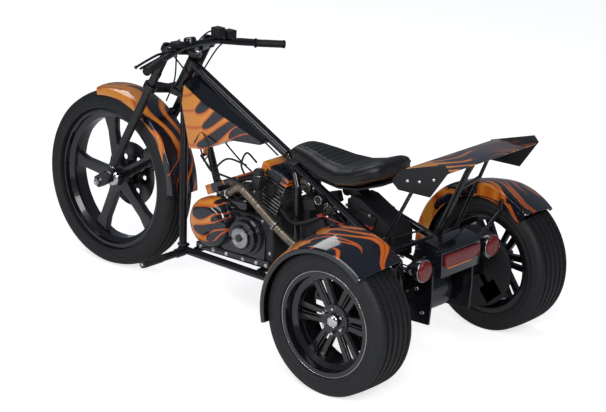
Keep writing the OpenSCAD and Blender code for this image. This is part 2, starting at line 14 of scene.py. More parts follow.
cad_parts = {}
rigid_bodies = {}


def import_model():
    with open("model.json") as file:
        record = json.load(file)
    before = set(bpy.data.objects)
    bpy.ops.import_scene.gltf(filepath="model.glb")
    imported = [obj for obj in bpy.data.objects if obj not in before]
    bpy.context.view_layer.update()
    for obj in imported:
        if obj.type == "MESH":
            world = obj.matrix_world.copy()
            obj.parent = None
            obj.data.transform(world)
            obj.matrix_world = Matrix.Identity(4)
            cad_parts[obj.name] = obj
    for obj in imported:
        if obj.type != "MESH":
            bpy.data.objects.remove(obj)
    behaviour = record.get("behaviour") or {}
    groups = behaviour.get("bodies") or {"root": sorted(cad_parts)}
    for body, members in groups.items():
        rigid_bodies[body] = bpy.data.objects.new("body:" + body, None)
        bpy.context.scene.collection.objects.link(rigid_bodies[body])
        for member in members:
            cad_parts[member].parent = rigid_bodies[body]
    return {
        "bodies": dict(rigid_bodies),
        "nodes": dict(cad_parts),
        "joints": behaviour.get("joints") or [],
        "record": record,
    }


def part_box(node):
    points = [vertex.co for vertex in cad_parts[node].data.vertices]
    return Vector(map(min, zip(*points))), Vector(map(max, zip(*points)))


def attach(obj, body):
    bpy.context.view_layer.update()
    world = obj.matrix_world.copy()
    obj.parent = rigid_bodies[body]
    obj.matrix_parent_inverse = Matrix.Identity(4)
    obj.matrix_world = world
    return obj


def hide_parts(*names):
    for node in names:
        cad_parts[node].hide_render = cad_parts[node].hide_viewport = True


logging.basicConfig(level=logging.INFO, format="%(message)s")
log = logging.getLogger("trike")

Point = Sequence[float]
UvRule = Callable[[Vector, Vector], tuple[float, float]]

# Sizes in millimetres from the rear axle, as the CAD has them
REAR_R, REAR_Y, REAR_HALF = 283.0, 493.0, 98.0
FRONT_X, FRONT_R, FRONT_HALF = 1620.0, 376.0, 75.0
FENDER_MID = (12.0, 291.0)
FENDER_R = 327.0
DRUM_X, DRUM_Z = 770, 346
FAN_X, FAN_Z = 955, 362
AXIS_FOOT_X = 1734
LEAN = math.tan(math.radians(29))


class Body(Enum):
    """The moving bodies of the part."""

    CHASSIS = "chassis"
    FORK = "fork"
    FRONT = "front_wheel"
    LEFT = "rear_left_wheel"
    RIGHT = "rear_right_wheel"


class Pattern(Enum):
    """What a finish is made of beyond its plain colour."""

    PLAIN = "plain"
    FLAMES = "flames"
    TREAD = "tread"
    LEATHER = "leather"
    BRUSHED = "brushed"
    CAST = "cast"
    LENS = "lens"


@dataclass(frozen=True)
class Finish:
    """One finish: its slot in the record, colour and surface."""

    name: str
    slot: str
    colour: tuple[float, float, float]
    metallic: float = 0.0
    rough: float = 0.4
    coat: float = 0.0
    pattern: Pattern = Pattern.PLAIN
    pitch: float = 0.07
    start: float = 0.05
    spread: float = 0.06
    length: float = 0.3
    seed: float = 0.0
    holes: float = 0.9
    # pale paints a highlight and a sheen into flame paint: it lifts the orange towards yellow and the black
    # towards bluish grey, as light falling on a top face would.
    pale: float = 0.0


BLACK_GLOSS = Finish("gloss_black", "gloss_black", (0.008, 0.009, 0.013), rough=0.12, coat=1.0)
BLACK_FRAME = Finish("frame_black", "frame_black", (0.006, 0.006, 0.008), rough=0.24, coat=0.5)
BLACK_MATT = Finish("matt_black", "matt_black", (0.010, 0.010, 0.012), rough=0.55, pattern=Pattern.CAST)
RIM_BLACK = Finish("rim_black", "gloss_black", (0.007, 0.007, 0.009), rough=0.2, coat=0.8)
ALLOY = Finish("bare_alloy", "bare_alloy", (0.42, 0.42, 0.43), 1.0, 0.33, pattern=Pattern.CAST)
DARK_ALLOY = Finish("dark_alloy", "matt_black", (0.055, 0.055, 0.06), 0.6, 0.45, pattern=Pattern.CAST)
STEEL = Finish("steel", "steel", (0.56, 0.56, 0.57), 1.0, 0.24, pattern=Pattern.BRUSHED)
DARK_STEEL = Finish("dark_steel", "steel", (0.12, 0.12, 0.125), 1.0, 0.32, pattern=Pattern.BRUSHED)
CHROME = Finish("bright_steel", "steel", (0.80, 0.80, 0.82), 1.0, 0.08)
WRAP = Finish("exhaust_wrap", "exhaust_wrap", (0.34, 0.29, 0.235), 1.0, 0.38, pattern=Pattern.BRUSHED)
TYRE = Finish("tyre_rubber", "tyre_rubber", (0.014, 0.015, 0.017), rough=0.62, pattern=Pattern.TREAD)
RUBBER = Finish("rubber_black", "rubber_black", (0.016, 0.016, 0.017), rough=0.5, pattern=Pattern.CAST)
LEATHER = Finish("seat_leather", "seat_leather", (0.011, 0.011, 0.013), rough=0.36, pattern=Pattern.LEATHER)
TAN = Finish("seat_edge", "seat_leather", (0.10, 0.055, 0.03), rough=0.55, pattern=Pattern.LEATHER)
RED_LENS = Finish("lamp_red", "lamp_red", (0.24, 0.006, 0.006), rough=0.15, coat=1.0, pattern=Pattern.LENS)
RED_PAINT = Finish("red_paint", "lamp_red", (0.33, 0.02, 0.015), rough=0.3, coat=0.5)
THREAD = Finish("seam_thread", "seat_leather", (0.13, 0.13, 0.135), rough=0.7)


def flames(name: str, **look: float) -> Finish:
    """A flame paint with its own layout.

    Args:
        name: The finish's name.
        look: Layout values of Finish.

    Returns:
        The finish.
    """
    return Finish(name, "flame_paint", (0.008, 0.009, 0.014), rough=0.13, coat=1.0,
                  pattern=Pattern.FLAMES, **look)


class Nodes:
    """Short ways to build a node tree."""

    def __init__(self, tree: bpy.types.NodeTree) -> None:
        """Keeps the tree that the nodes go into."""
        self.tree = tree

    def add(self, kind: str, **values: object) -> bpy.types.Node:
        """Adds a node and sets its properties."""
        node = self.tree.nodes.new(kind)
        for key, value in values.items():
            setattr(node, key, value)
        return node

    def put(self, socket: bpy.types.NodeSocket, value: object) -> None:
        """Links a socket to a socket, or sets its value."""
        if isinstance(value, bpy.types.NodeSocket):
            self.tree.links.new(value, socket)
        else:
            socket.default_value = value

    def math(self, operation: str, a: object, b: object = None, clamp: bool = False) -> bpy.types.NodeSocket:
        """One math node's result."""
        node = self.add("ShaderNodeMath", operation=operation, use_clamp=clamp)
        self.put(node.inputs[0], a)
        if b is not None:
            self.put(node.inputs[1], b)
        return node.outputs[0]

    def mix(self, share: object, a: object, b: object) -> bpy.types.NodeSocket:
        """A colour mix's result."""
        node = self.add("ShaderNodeMix", data_type="RGBA")
        self.put(node.inputs[0], share)
        self.put(node.inputs[6], a)
        self.put(node.inputs[7], b)
        return node.outputs[2]

    def noise(self, vector: object, scale: float, detail: float = 2.0) -> bpy.types.NodeSocket:
        """A noise texture's factor."""
        node = self.add("ShaderNodeTexNoise")
        self.put(node.inputs["Vector"], vector)
        node.inputs["Scale"].default_value = scale
        node.inputs["Detail"].default_value = detail
        return node.outputs["Fac"]

    def random(self, value: object) -> bpy.types.NodeSocket:
        """A steady random value for a number."""
        node = self.add("ShaderNodeTexWhiteNoise", noise_dimensions="1D")
        self.put(node.inputs["W"], value)
        return node.outputs["Value"]


def flame_group() -> bpy.types.NodeTree:
    """The shared flame layout: tongues that start round and trail off to points.

    Returns:
        The node group with outputs Mask and Heat.
    """
    found = bpy.data.node_groups.get("flames")
    if found:
        return found
    tree = bpy.data.node_groups.new("flames", "ShaderNodeTree")
    face = tree.interface
    face.new_socket("Place", in_out="INPUT", socket_type="NodeSocketVector")
    for name in ("Pitch", "Start", "Spread", "Length", "Seed", "Holes"):
        face.new_socket(name, in_out="INPUT", socket_type="NodeSocketFloat")
    face.new_socket("Mask", in_out="OUTPUT", socket_type="NodeSocketFloat")
    face.new_socket("Heat", in_out="OUTPUT", socket_type="NodeSocketFloat")
    n = Nodes(tree)
    given = n.add("NodeGroupInput").outputs
    parts = n.add("ShaderNodeSeparateXYZ")
    n.put(parts.inputs[0], given["Place"])
    u, v = parts.outputs[0], parts.outputs[1]
    shift = n.add("ShaderNodeCombineXYZ")
    n.put(shift.inputs[0], u)
    n.put(shift.inputs[1], v)
    n.put(shift.inputs[2], given["Seed"])
    lane = n.math("DIVIDE", v, given["Pitch"])
    drift = n.math("MULTIPLY", n.math("SUBTRACT", n.noise(shift.outputs[0], 6.0, 0.4), 0.5), 0.9)
    phase = n.math("ADD", n.math("MULTIPLY", lane, 0.7), given["Seed"])
    wave = n.math("MULTIPLY", n.math("SINE", n.math("ADD", n.math("MULTIPLY", u, 19.0), phase)), 0.40)
    row = n.math("ADD", n.math("ADD", lane, drift), wave)
    near = n.math("ROUND", row)
    tongue = n.math("ADD", n.math("FLOOR", row), 0.5)
    off_gap = n.math("ABSOLUTE", n.math("SUBTRACT", row, near))
    off_tongue = n.math("ABSOLUTE", n.math("SUBTRACT", row, tongue))

    def chance(of: object, extra: float = 0.0) -> bpy.types.NodeSocket:
        """A steady random share for a lane."""
        return n.random(n.math("ADD", n.math("ADD", of, given["Seed"]), extra))

    def drop(begin: object, share: float, size: object, off: object) -> bpy.types.NodeSocket:
        """The distance outside a dark drop: a round head at its start and a long tail."""
        run = n.math("MULTIPLY", given["Length"], share)
        t = n.math("DIVIDE", n.math("SUBTRACT", u, begin), run, clamp=True)
        tail = n.math("POWER", n.math("SUBTRACT", 1.0, t), 1.3)
        half = n.math("MULTIPLY", n.math("MULTIPLY", n.math("SQRT", t), tail), size)
        return n.math("ADD", n.math("SUBTRACT", off, half), n.math("LESS_THAN", t, 0.001))

    reach = n.math("MULTIPLY", given["Length"], n.math("ADD", n.math("MULTIPLY", chance(tongue), 0.5), 0.62))
    t = n.math("DIVIDE", n.math("SUBTRACT", u, given["Start"]), reach, clamp=True)
    width = n.math("SUBTRACT", 0.53, n.math("MULTIPLY", n.math("POWER", t, 1.25), 0.56))
    edge = n.math("SUBTRACT", width, off_tongue)
    between = n.math("SUBTRACT", given["Start"], n.math("MULTIPLY", given["Spread"], chance(near)))
    later = n.math("ADD", given["Start"], n.math("MULTIPLY", given["Length"], 0.30))
    within = n.math("SUBTRACT", later, n.math("MULTIPLY", given["Spread"],
                                              n.math("MULTIPLY", chance(tongue, 5.1), 0.8)))
    both_edges = n.math("MINIMUM", n.math("MINIMUM", edge, drop(between, 0.72, 0.94, off_gap)),
                        drop(within, 0.42, given["Holes"], off_tongue))
    out = n.add("NodeGroupOutput")
    n.put(out.inputs["Mask"], n.math("ADD", n.math("MULTIPLY", both_edges, 40.0), 0.5, clamp=True))
    n.put(out.inputs["Heat"], n.math("MULTIPLY", both_edges, 5.5, clamp=True))
    return tree


def tread_group() -> bpy.types.NodeTree:
    """Slanted sipes across a tread, from a tyre's own unrolled coordinates in metres.

    Returns:
        The node group with output Cut, one in a sipe.
    """
    found = bpy.data.node_groups.get("sipes")
    if found:
        return found
    tree = bpy.data.node_groups.new("sipes", "ShaderNodeTree")
    tree.interface.new_socket("Place", in_out="INPUT", socket_type="NodeSocketVector")
    tree.interface.new_socket("Cut", in_out="OUTPUT", socket_type="NodeSocketFloat")
    n = Nodes(tree)
    given = n.add("NodeGroupInput").outputs
    parts = n.add("ShaderNodeSeparateXYZ")
    n.put(parts.inputs[0], given["Place"])
    u, v = parts.outputs[0], parts.outputs[1]
    side = n.math("ABSOLUTE", v)
    slant = n.math("ADD", u, n.math("MULTIPLY", side, 0.55))
    fine = n.math("ABSOLUTE", n.math("SUBTRACT", n.math("FRACT", n.math("DIVIDE", slant, 0.024)), 0.5))
    cut = n.math("LESS_THAN", fine, 0.095)
    on_tread = n.math("LESS_THAN", side, 0.094)
    off_mid = n.math("GREATER_THAN", side, 0.012)
    out = n.add("NodeGroupOutput")
    n.put(out.inputs["Cut"], n.math("MULTIPLY", n.math("MULTIPLY", cut, on_tread), off_mid))
    return tree


def material(finish: Finish) -> bpy.types.Material:
    """The shader of a finish, made once.

    Args:
        finish: The finish.

    Returns:
        Its material.
    """
    found = bpy.data.materials.get("m_" + finish.name)
    if found:
        return found
    made = bpy.data.materials.new("m_" + finish.name)
    made.use_nodes = True
    n = Nodes(made.node_tree)
    shader = made.node_tree.nodes["Principled BSDF"]
    where = n.add("ShaderNodeTexCoord")
    spot = where.outputs["Object"]
    shader.inputs["Metallic"].default_value = finish.metallic
    shader.inputs["Coat Weight"].default_value = finish.coat
    shader.inputs["Coat Roughness"].default_value = 0.04
    shader.inputs["Base Color"].default_value = (*finish.colour, 1.0)
    worn = n.math("ADD", n.math("MULTIPLY", n.math("SUBTRACT", n.noise(spot, 14.0), 0.5), 0.16),
                  finish.rough)
    n.put(shader.inputs["Roughness"], worn)
    height, strength, depth = None, 0.0, 0.001
    if finish.pattern is Pattern.FLAMES:
        group = n.add("ShaderNodeGroup", node_tree=flame_group())
        n.put(group.inputs["Place"], where.outputs["UV"])
        for key in ("Pitch", "Start", "Spread", "Length", "Seed", "Holes"):
            group.inputs[key].default_value = getattr(finish, key.lower())
        # Flame paint: deep orange at the tongues' edges and bright in their middles is the paint's own
        # pattern; pale adds a painted highlight to the orange and a painted bluish sheen to the black.
        deep = (0.62, 0.085, 0.012, 1.0)
        bright = (0.93, 0.33 + 0.14 * finish.pale, 0.035 + 0.1 * finish.pale, 1.0)
        hot = n.mix(group.outputs["Heat"], deep, bright)
        dark = (0.010 + 0.05 * finish.pale, 0.012 + 0.055 * finish.pale, 0.020 + 0.07 * finish.pale, 1.0)
        n.put(shader.inputs["Base Color"], n.mix(group.outputs["Mask"], dark, hot))
    elif finish.pattern is Pattern.TREAD:
        group = n.add("ShaderNodeGroup", node_tree=tread_group())
        n.put(group.inputs["Place"], where.outputs["UV"])
        dusty = n.mix(n.noise(spot, 30.0, 4.0), (0.010, 0.011, 0.012, 1), (0.020, 0.020, 0.022, 1))
        # The sipes are coloured darker than the rubber round them: painted shade in the cuts. dusty is the
        # rubber's random tone.
        n.put(shader.inputs["Base Color"], n.mix(group.outputs["Cut"], dusty, (0.006, 0.006, 0.006, 1)))
        height = n.math("SUBTRACT", n.math("MULTIPLY", n.noise(spot, 220.0), 0.15), group.outputs["Cut"])
        strength, depth = 0.8, 0.0025
    elif finish.pattern is Pattern.LEATHER:
        grain = n.add("ShaderNodeTexVoronoi")
        n.put(grain.inputs["Vector"], spot)
        grain.inputs["Scale"].default_value = 420.0
        height, strength, depth = grain.outputs["Distance"], 0.35, 0.0008
    elif finish.pattern is Pattern.BRUSHED:
        height, strength, depth = n.noise(spot, 260.0, 3.0), 0.12, 0.0005
    elif finish.pattern is Pattern.CAST:
        height, strength, depth = n.noise(spot, 190.0, 3.0), 0.3, 0.0008
    elif finish.pattern is Pattern.LENS:
        shader.inputs["Transmission Weight"].default_value = 0.25
        parts = n.add("ShaderNodeSeparateXYZ")
        n.put(parts.inputs[0], spot)
        height = n.math("SINE", n.math("MULTIPLY", parts.outputs[1], 900.0))
        strength, depth = 0.5, 0.001
        shader.inputs["Emission Color"].default_value = (0.6, 0.02, 0.01, 1.0)
        shader.inputs["Emission Strength"].default_value = 0.03
    if height is not None:
        bump = n.add("ShaderNodeBump")
        bump.inputs["Strength"].default_value = strength
        bump.inputs["Distance"].default_value = depth
        n.put(bump.inputs["Height"], height)
        n.put(shader.inputs["Normal"], bump.outputs["Normal"])
    return made


@dataclass
class Rig:
    """The frame of the part and the way from millimetres at the rear axle to it."""

    frame: dict
    still: Matrix = field(default_factory=Matrix)
    turned: Matrix = field(default_factory=Matrix)

    def __post_init__(self) -> None:
        """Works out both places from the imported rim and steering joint."""
        low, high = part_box("rear_left_rim")
        self.axle_x = (low.x + high.x) / 2
        self.still = Matrix.Translation((self.axle_x, 0, 0)) @ Matrix.Scale(0.001, 4)
        steer = next(j for j in self.frame["joints"] if j["name"] == "steering")
        pin, axis = Vector(steer["pos_m"]), Vector(steer["axis"])
        rest = (steer["range_deg"][0] + steer["range_deg"][1]) / 2
        swing = Matrix.Rotation(-math.radians(rest), 4, axis)
        self.turned = Matrix.Translation(pin) @ swing @ Matrix.Translation(-pin) @ self.still
        self.slots = {s["node"]: s["material_slot"] for s in self.frame["record"]["subparts"]}


@dataclass
class Piece:
    """One mesh under construction, in millimetres from the rear axle."""

    rig: Rig
    name: str
    body: Body
    finish: Finish
    turned: bool = False
    sharp: float = 38.0
    uv: Optional[UvRule] = None
    bm: bmesh.types.BMesh = field(default_factory=bmesh.new)

    def absorb(self, other: bmesh.types.BMesh, matrix: Matrix) -> None:
        """Adds another bmesh, placed by a matrix, and frees it."""
        other.transform(matrix)
        mesh = bpy.data.meshes.new("part")
        other.to_mesh(mesh)
        other.free()
        self.bm.from_mesh(mesh)
        bpy.data.meshes.remove(mesh)

    @staticmethod
    def aim(start: Vector, axis: Vector) -> Matrix:
        """The matrix that puts +Z along axis at start."""
        return Matrix.Translation(start) @ Vector((0, 0, 1)).rotation_difference(axis).to_matrix().to_4x4()

    def box(self, mid: Point, size: Point, turn: Point = (0, 0, 0), bevel: float = 1.5) -> "Piece":
        """A bevelled box.

        Args:
            mid: Its middle.
            size: Its three sizes.
            turn: Degrees about X, Y and Z.
            bevel: Width of its rounded edges.

        Returns:
            The piece.
        """
        part = bmesh.new()
        bmesh.ops.create_cube(part, size=1.0, matrix=Matrix.Diagonal((*size, 1)))
        if bevel:
            bmesh.ops.bevel(part, geom=part.edges[:], offset=bevel, segments=2, profile=0.5,
                            affect="EDGES", clamp_overlap=True, material=-1)
        spin = Euler([math.radians(a) for a in turn]).to_matrix().to_4x4()
        self.absorb(part, Matrix.Translation(mid) @ spin)
        return self

    def rod(self, a: Point, b: Point, r: float, r2: Optional[float] = None, sides: int = 24,
            bevel: float = 0.0) -> "Piece":
        """A round or hexagonal bar.

        Args:
            a: Where it starts.
            b: Where it ends.
            r: Radius at the start.
            r2: Radius at the end, the same when left out.
            sides: Sides round it.
            bevel: Width of its rounded ends.

        Returns:
            The piece.
        """
        start, axis = Vector(a), Vector(b) - Vector(a)
        part = bmesh.new()
        bmesh.ops.create_cone(part, cap_ends=True, segments=sides, radius1=r,
                              radius2=r if r2 is None else r2, depth=axis.length)
        bmesh.ops.translate(part, verts=part.verts[:], vec=(0, 0, axis.length / 2))
        if bevel:
            ends = [e for e in part.edges if abs(e.verts[0].co.z - e.verts[1].co.z) < 1e-4]
            bmesh.ops.bevel(part, geom=ends, offset=bevel, segments=2, profile=0.5, affect="EDGES",
                            clamp_overlap=True, material=-1)
        self.absorb(part, self.aim(start, axis))
        return self

    def lathe(self, profile: Sequence[Point], start: Point, axis: Point, steps: int = 96) -> "Piece":
        """A turned shape.

        Args:
            profile: Points of radius and height.
            start: Where height is zero.
            axis: The way up.
            steps: Faces round it.

        Returns:
            The piece.
        """
        part = bmesh.new()
        verts = [part.verts.new((max(r, 0.0), 0, z)) for r, z in profile]
        edges = [part.edges.new(pair) for pair in zip(verts, verts[1:])]
        bmesh.ops.spin(part, geom=verts + edges, cent=(0, 0, 0), axis=(0, 0, 1), dvec=(0, 0, 0),
                       angle=math.tau, steps=steps, use_merge=True, use_duplicate=False)
        bmesh.ops.remove_doubles(part, verts=part.verts[:], dist=0.001)
        self.absorb(part, self.aim(Vector(start), Vector(axis)))
        return self

    def ring(self, mid: Point, axis: Point, radius: float, thick: float, steps: int = 64) -> "Piece":
        """A torus."""
        turns = [(radius + thick * math.cos(a * math.tau / 10), thick * math.sin(a * math.tau / 10))
                 for a in range(11)]
        return self.lathe(turns, mid, axis, steps)

    def bolt(self, at: Point, axis: Point, r: float, h: float = 0.0) -> "Piece":
        """A hexagon bolt head with its washer, standing on a face."""
        start, way = Vector(at), Vector(axis).normalized()
        height = h or r * 0.9
        self.rod(start, start + way * height * 0.25, r * 1.35, sides=20)
        return self.rod(start + way * height * 0.25, start + way * height, r, sides=6, bevel=r * 0.12)

    def sweep(self, points: Sequence[Point], r: float, smooth: int = 8,
              rib: Optional[Callable[[float], float]] = None, step: float = 0.0) -> "Piece":
        """A tube along a smooth line.

        Args:
            points: What the line passes through.
            r: Radius.
            smooth: Steps between two points when step is zero.
            rib: Share of the radius for a distance run.
            step: Length of a step.

        Returns:
            The piece.
        """
        line = [Vector(p) for p in points]
        ends = [line[0] * 2 - line[1], *line, line[-1] * 2 - line[-2]]
        path: list[Vector] = []
        for i in range(1, len(ends) - 2):
            a, b, c, d = ends[i - 1:i + 3]
            count = max(2, int((c - b).length / step)) if step else smooth
            for k in range(count):
                t = k / count
                path.append(0.5 * ((2 * b) + (c - a) * t + (2 * a - 5 * b + 4 * c - d) * t * t
                                   + (3 * b - a - 3 * c + d) * t ** 3))
        path.append(line[-1])
        curve = bpy.data.curves.new("path", "CURVE")
        curve.dimensions = "3D"
        curve.bevel_depth, curve.bevel_resolution, curve.use_fill_caps = r, 4, True
        spline = curve.splines.new("POLY")
        spline.points.add(len(path) - 1)
        run = 0.0
        for i, p in enumerate(path):
            run += (p - path[i - 1]).length if i else 0.0
            spline.points[i].co = (*p, 1.0)
            spline.points[i].radius = rib(run) if rib else 1.0
        holder = bpy.data.objects.new("path", curve)
        mesh = bpy.data.meshes.new_from_object(holder)
        self.bm.from_mesh(mesh)
        bpy.data.objects.remove(holder)
        bpy.data.curves.remove(curve)
        bpy.data.meshes.remove(mesh)
        return self

    def node(self, name: str, bevel: float = 0.0, angle: float = 35.0) -> "Piece":
        """A copy of a CAD node with its hard edges rounded.

        Args:
            name: The node.
            bevel: Width of the rounding.
            angle: Degrees from which an edge is hard.

        Returns:
            The piece.
        """
        place = self.rig.turned if self.turned else self.rig.still
        part = bmesh.new()
        part.from_mesh(self.rig.frame["nodes"][name].data)
        part.transform(place.inverted())
        bmesh.ops.remove_doubles(part, verts=part.verts[:], dist=0.01)
        bmesh.ops.dissolve_limit(part, angle_limit=math.radians(1.5), verts=part.verts[:],
                                 edges=part.edges[:], use_dissolve_boundaries=False)
        if bevel:
            hard = [e for e in part.edges if e.is_manifold and e.calc_face_angle(0) > math.radians(angle)]
            bmesh.ops.bevel(part, geom=hard, offset=bevel, segments=3, profile=0.5, affect="EDGES",
                            clamp_overlap=True, material=-1)
        self.absorb(part, Matrix())
        return self

    def repaint(self, obj: bpy.types.Object, finish: Finish, rule: Callable[[Vector, Vector], bool]) -> None:
        """Gives the faces that a rule picks, by middle and normal in millimetres, another finish."""
        obj.data.materials.append(material(finish))
        place = (self.rig.turned if self.turned else self.rig.still).inverted()
        turn = place.to_3x3().normalized()
        for face in obj.data.polygons:
            if rule(place @ face.center, (turn @ face.normal).normalized()):
                face.material_index = len(obj.data.materials) - 1

    def done(self, *stands_for: str) -> bpy.types.Object:
        """Closes the piece as an object that rides on its body.

        Args:
            stands_for: CAD nodes that the piece stands for.

        Returns:
            The object.
        """
        bmesh.ops.recalc_face_normals(self.bm, faces=self.bm.faces[:])
        if self.uv:
            layer = self.bm.loops.layers.uv.new("flat")
            for face in self.bm.faces:
                for loop in face.loops:
                    loop[layer].uv = self.uv(loop.vert.co, face.normal)
        self.bm.transform(self.rig.turned if self.turned else self.rig.still)
        mesh = bpy.data.meshes.new(self.name)
        self.bm.to_mesh(mesh)
        self.bm.free()
        mesh.materials.append(material(self.finish))
        mesh.shade_smooth()
        mesh.set_sharp_from_angle(angle=math.radians(self.sharp))
        obj = bpy.data.objects.new(self.name, mesh)
        bpy.context.scene.collection.objects.link(obj)
        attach(obj, self.body.value)
        if stands_for:
            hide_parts(*stands_for)
        log.info("%s: %d faces", self.name, len(mesh.polygons))
        return obj


def both(x: float, y: float, z: float) -> list[tuple[float, float, float]]:
    """A point and its mirror image across the middle plane."""
    return [(x, y, z), (x, -y, z)]


def table(points: Sequence[tuple[float, float]], x: float) -> float:
    """A value read from a table of (x, value) points by straight steps."""
    if x <= points[0][0]:
        return points[0][1]
    for (x0, v0), (x1, v1) in zip(points, points[1:]):
        if x <= x1:
            return v0 + (v1 - v0) * (x - x0) / (x1 - x0)
    return points[-1][1]


def skin(rig: Rig, name: str, body: Body, slot: Finish, node: str, bevel: float) -> bpy.types.Object:
    """Stands a rounded copy in for a CAD node.

    Args:
        rig: The part's frame.
        name: The piece's name.
        body: The body it rides on.
        slot: Its finish.
        node: The node it stands for.
        bevel: Width of its rounded edges.

    Returns:
        The finished object.
    """
    return Piece(rig, name, body, slot).node(node, bevel).done(node)


@dataclass
class Wheels:
    """Tyres, rims, nuts and caps."""

    rig: Rig

    def tyre(self, name: str, body: Body, mid: Point, radius: float, half: float, bead: float,
             bead_half: float, grooves: Sequence[float], crown: float, turned: bool, node: str) -> None:
        """A tyre with grooves round its tread and rings on its walls.

        Args:
            name: The piece's name.
            body: The body it rides on.
            mid: The wheel's middle.
            radius: Outer radius.
            half: Half of the width over the walls.
            bead: Radius at the rim.
            bead_half: Half of the width at the rim.
            grooves: Places of the grooves across the tread.
            crown: How far the tread falls at its edges.
            turned: Whether it turns with the fork at rest.
            node: The CAD node it stands for.
        """
        def top(y: float) -> float:
            """The tread's radius at a place across it."""
            return radius - crown * abs(y / (half * 0.8)) ** 2.2

        edge = half * 0.80
        wall = [(bead, bead_half - 10), (bead, bead_half), (bead + 12, bead_half + 2)]
        steps = ((0.18, 0.955), (0.30, 0.985), (0.34, 1.0), (0.37, 0.985), (0.52, 0.995), (0.55, 1.0),
                 (0.58, 0.99), (0.74, 0.968), (0.86, 0.93), (0.94, 0.88))
        shoulder = top(edge) - bead
        wall += [(bead + shoulder * s, half * w) for s, w in steps]
        tread: list[tuple[float, float]] = [(top(edge), edge)]
        for g in sorted(grooves, reverse=True):
            tread += [(top(g + 6.0), g + 6.0), (top(g) - 8.0, g + 4.6), (top(g) - 8.0, g - 4.6),
                      (top(g - 6.0), g - 6.0)]
        tread.append((top(edge), -edge))
        profile = wall + tread + [(r, -y) for r, y in reversed(wall)]

        def flat(co: Vector, _: Vector) -> tuple[float, float]:
            """Lays the surface flat, in metres."""
            d = co - Vector(mid)
            r = math.hypot(d.x, d.z)
            across = d.y if r > top(edge) - 8 else math.copysign(half + top(edge) - r, d.y)
            return math.atan2(d.z, d.x) * radius / 1000, across / 1000

        piece = Piece(self.rig, name, body, TYRE, turned, 28.0, flat)
        piece.lathe(profile, mid, (0, 1, 0), 160).done(node)

    def rear(self, side: int) -> None:
        """One rear wheel; side is 1 at the left and -1 at the right."""
        word, body = ("left", Body.LEFT) if side > 0 else ("right", Body.RIGHT)
        mid = (0, side * REAR_Y, REAR_R)
        self.tyre(f"tyre_{word}", body, mid, REAR_R, REAR_HALF, 194, 80, (-58, -30, 0, 30, 58), 3.0, False,
                  f"rear_{word}_tyre")
        rim = Piece(self.rig, f"rim_{word}", body, RIM_BLACK)
        made = rim.node(f"rear_{word}_rim", 2.2).done(f"rear_{word}_rim")
        rim.repaint(made, DARK_STEEL, lambda c, _: math.hypot(c.x, c.z - REAR_R) < 126
                    and 112 < side * (REAR_Y * side - c.y) < 124.5)
        out = Vector((0, side, 0))
        face = Vector((0, side * (REAR_Y + 28), REAR_R))
        bright = Piece(self.rig, f"wheel_bright_{word}", body, CHROME)
        bright.ring(Vector((0, side * (REAR_Y + 88), REAR_R)), out, 203.0, 1.5, 128)
        for i in range(6):
            a = math.radians(60 * i + 30)
            spot = face + Vector((math.cos(a) * 48, 0, math.sin(a) * 48))
            bright.rod(spot, spot + out * 15, 8.5, 6.5, sides=6, bevel=1)
        cap = face + out * 14
        bright.lathe([(0, 7), (16, 6), (22, 3.5), (25, 0), (25, -2)], cap, out, 48)
        bright.ring(cap + out * 5.6, out, 15, 1.0, 40)
        bright.done()
        dark = Piece(self.rig, f"wheel_dark_{word}", body, RIM_BLACK)
        for i in range(6):
            a = math.radians(60 * i)
            inner = Vector((math.cos(a) * 66, side * (REAR_Y + 20), REAR_R + math.sin(a) * 66))
            outer = Vector((math.cos(a) * 160, side * (REAR_Y + 24), REAR_R + math.sin(a) * 160))
            dark.rod(inner, outer, 4.5, 3.5, sides=12)
        dark.lathe([(162, 0), (172, 18), (186, 40), (194, 66), (196, 68)],
                   (0, side * (REAR_Y + 18), REAR_R), out, 96)
        dark.done()

    def front(self) -> None:
        """The front wheel."""
        mid = Vector((FRONT_X, 0, FRONT_R))
        self.tyre("tyre_front", Body.FRONT, mid, FRONT_R, FRONT_HALF, 288.5, 46, (-34, -12, 12, 34), 11.0,
                  True, "front_tyre")
        Piece(self.rig, "rim_front", Body.FRONT, RIM_BLACK, True).node("front_rim", 3.0).done("front_rim")
        Piece(self.rig, "disc_front", Body.FRONT, DARK_STEEL, True).node("front_disc", 0.6).done("front_disc")
        bright = Piece(self.rig, "front_wheel_bright", Body.FRONT, CHROME, True)
        bright.ring(mid + Vector((0, 54.5, 0)), (0, 1, 0), 294.0, 1.2, 128)
        for i in range(6):
            a = math.radians(60 * i + 30)
            spot = mid + Vector((math.cos(a) * 46, -68.6, math.sin(a) * 46))
            bright.bolt(spot, (0, -1, 0), 5.5)
        bright.lathe([(16, 0), (30, -1), (34, -6)], mid + Vector((0, 52, 0)), (0, 1, 0), 48)
        bright.done()

    def build(self) -> None:
        """All three wheels."""
        self.rear(1)
        self.rear(-1)
        self.front()


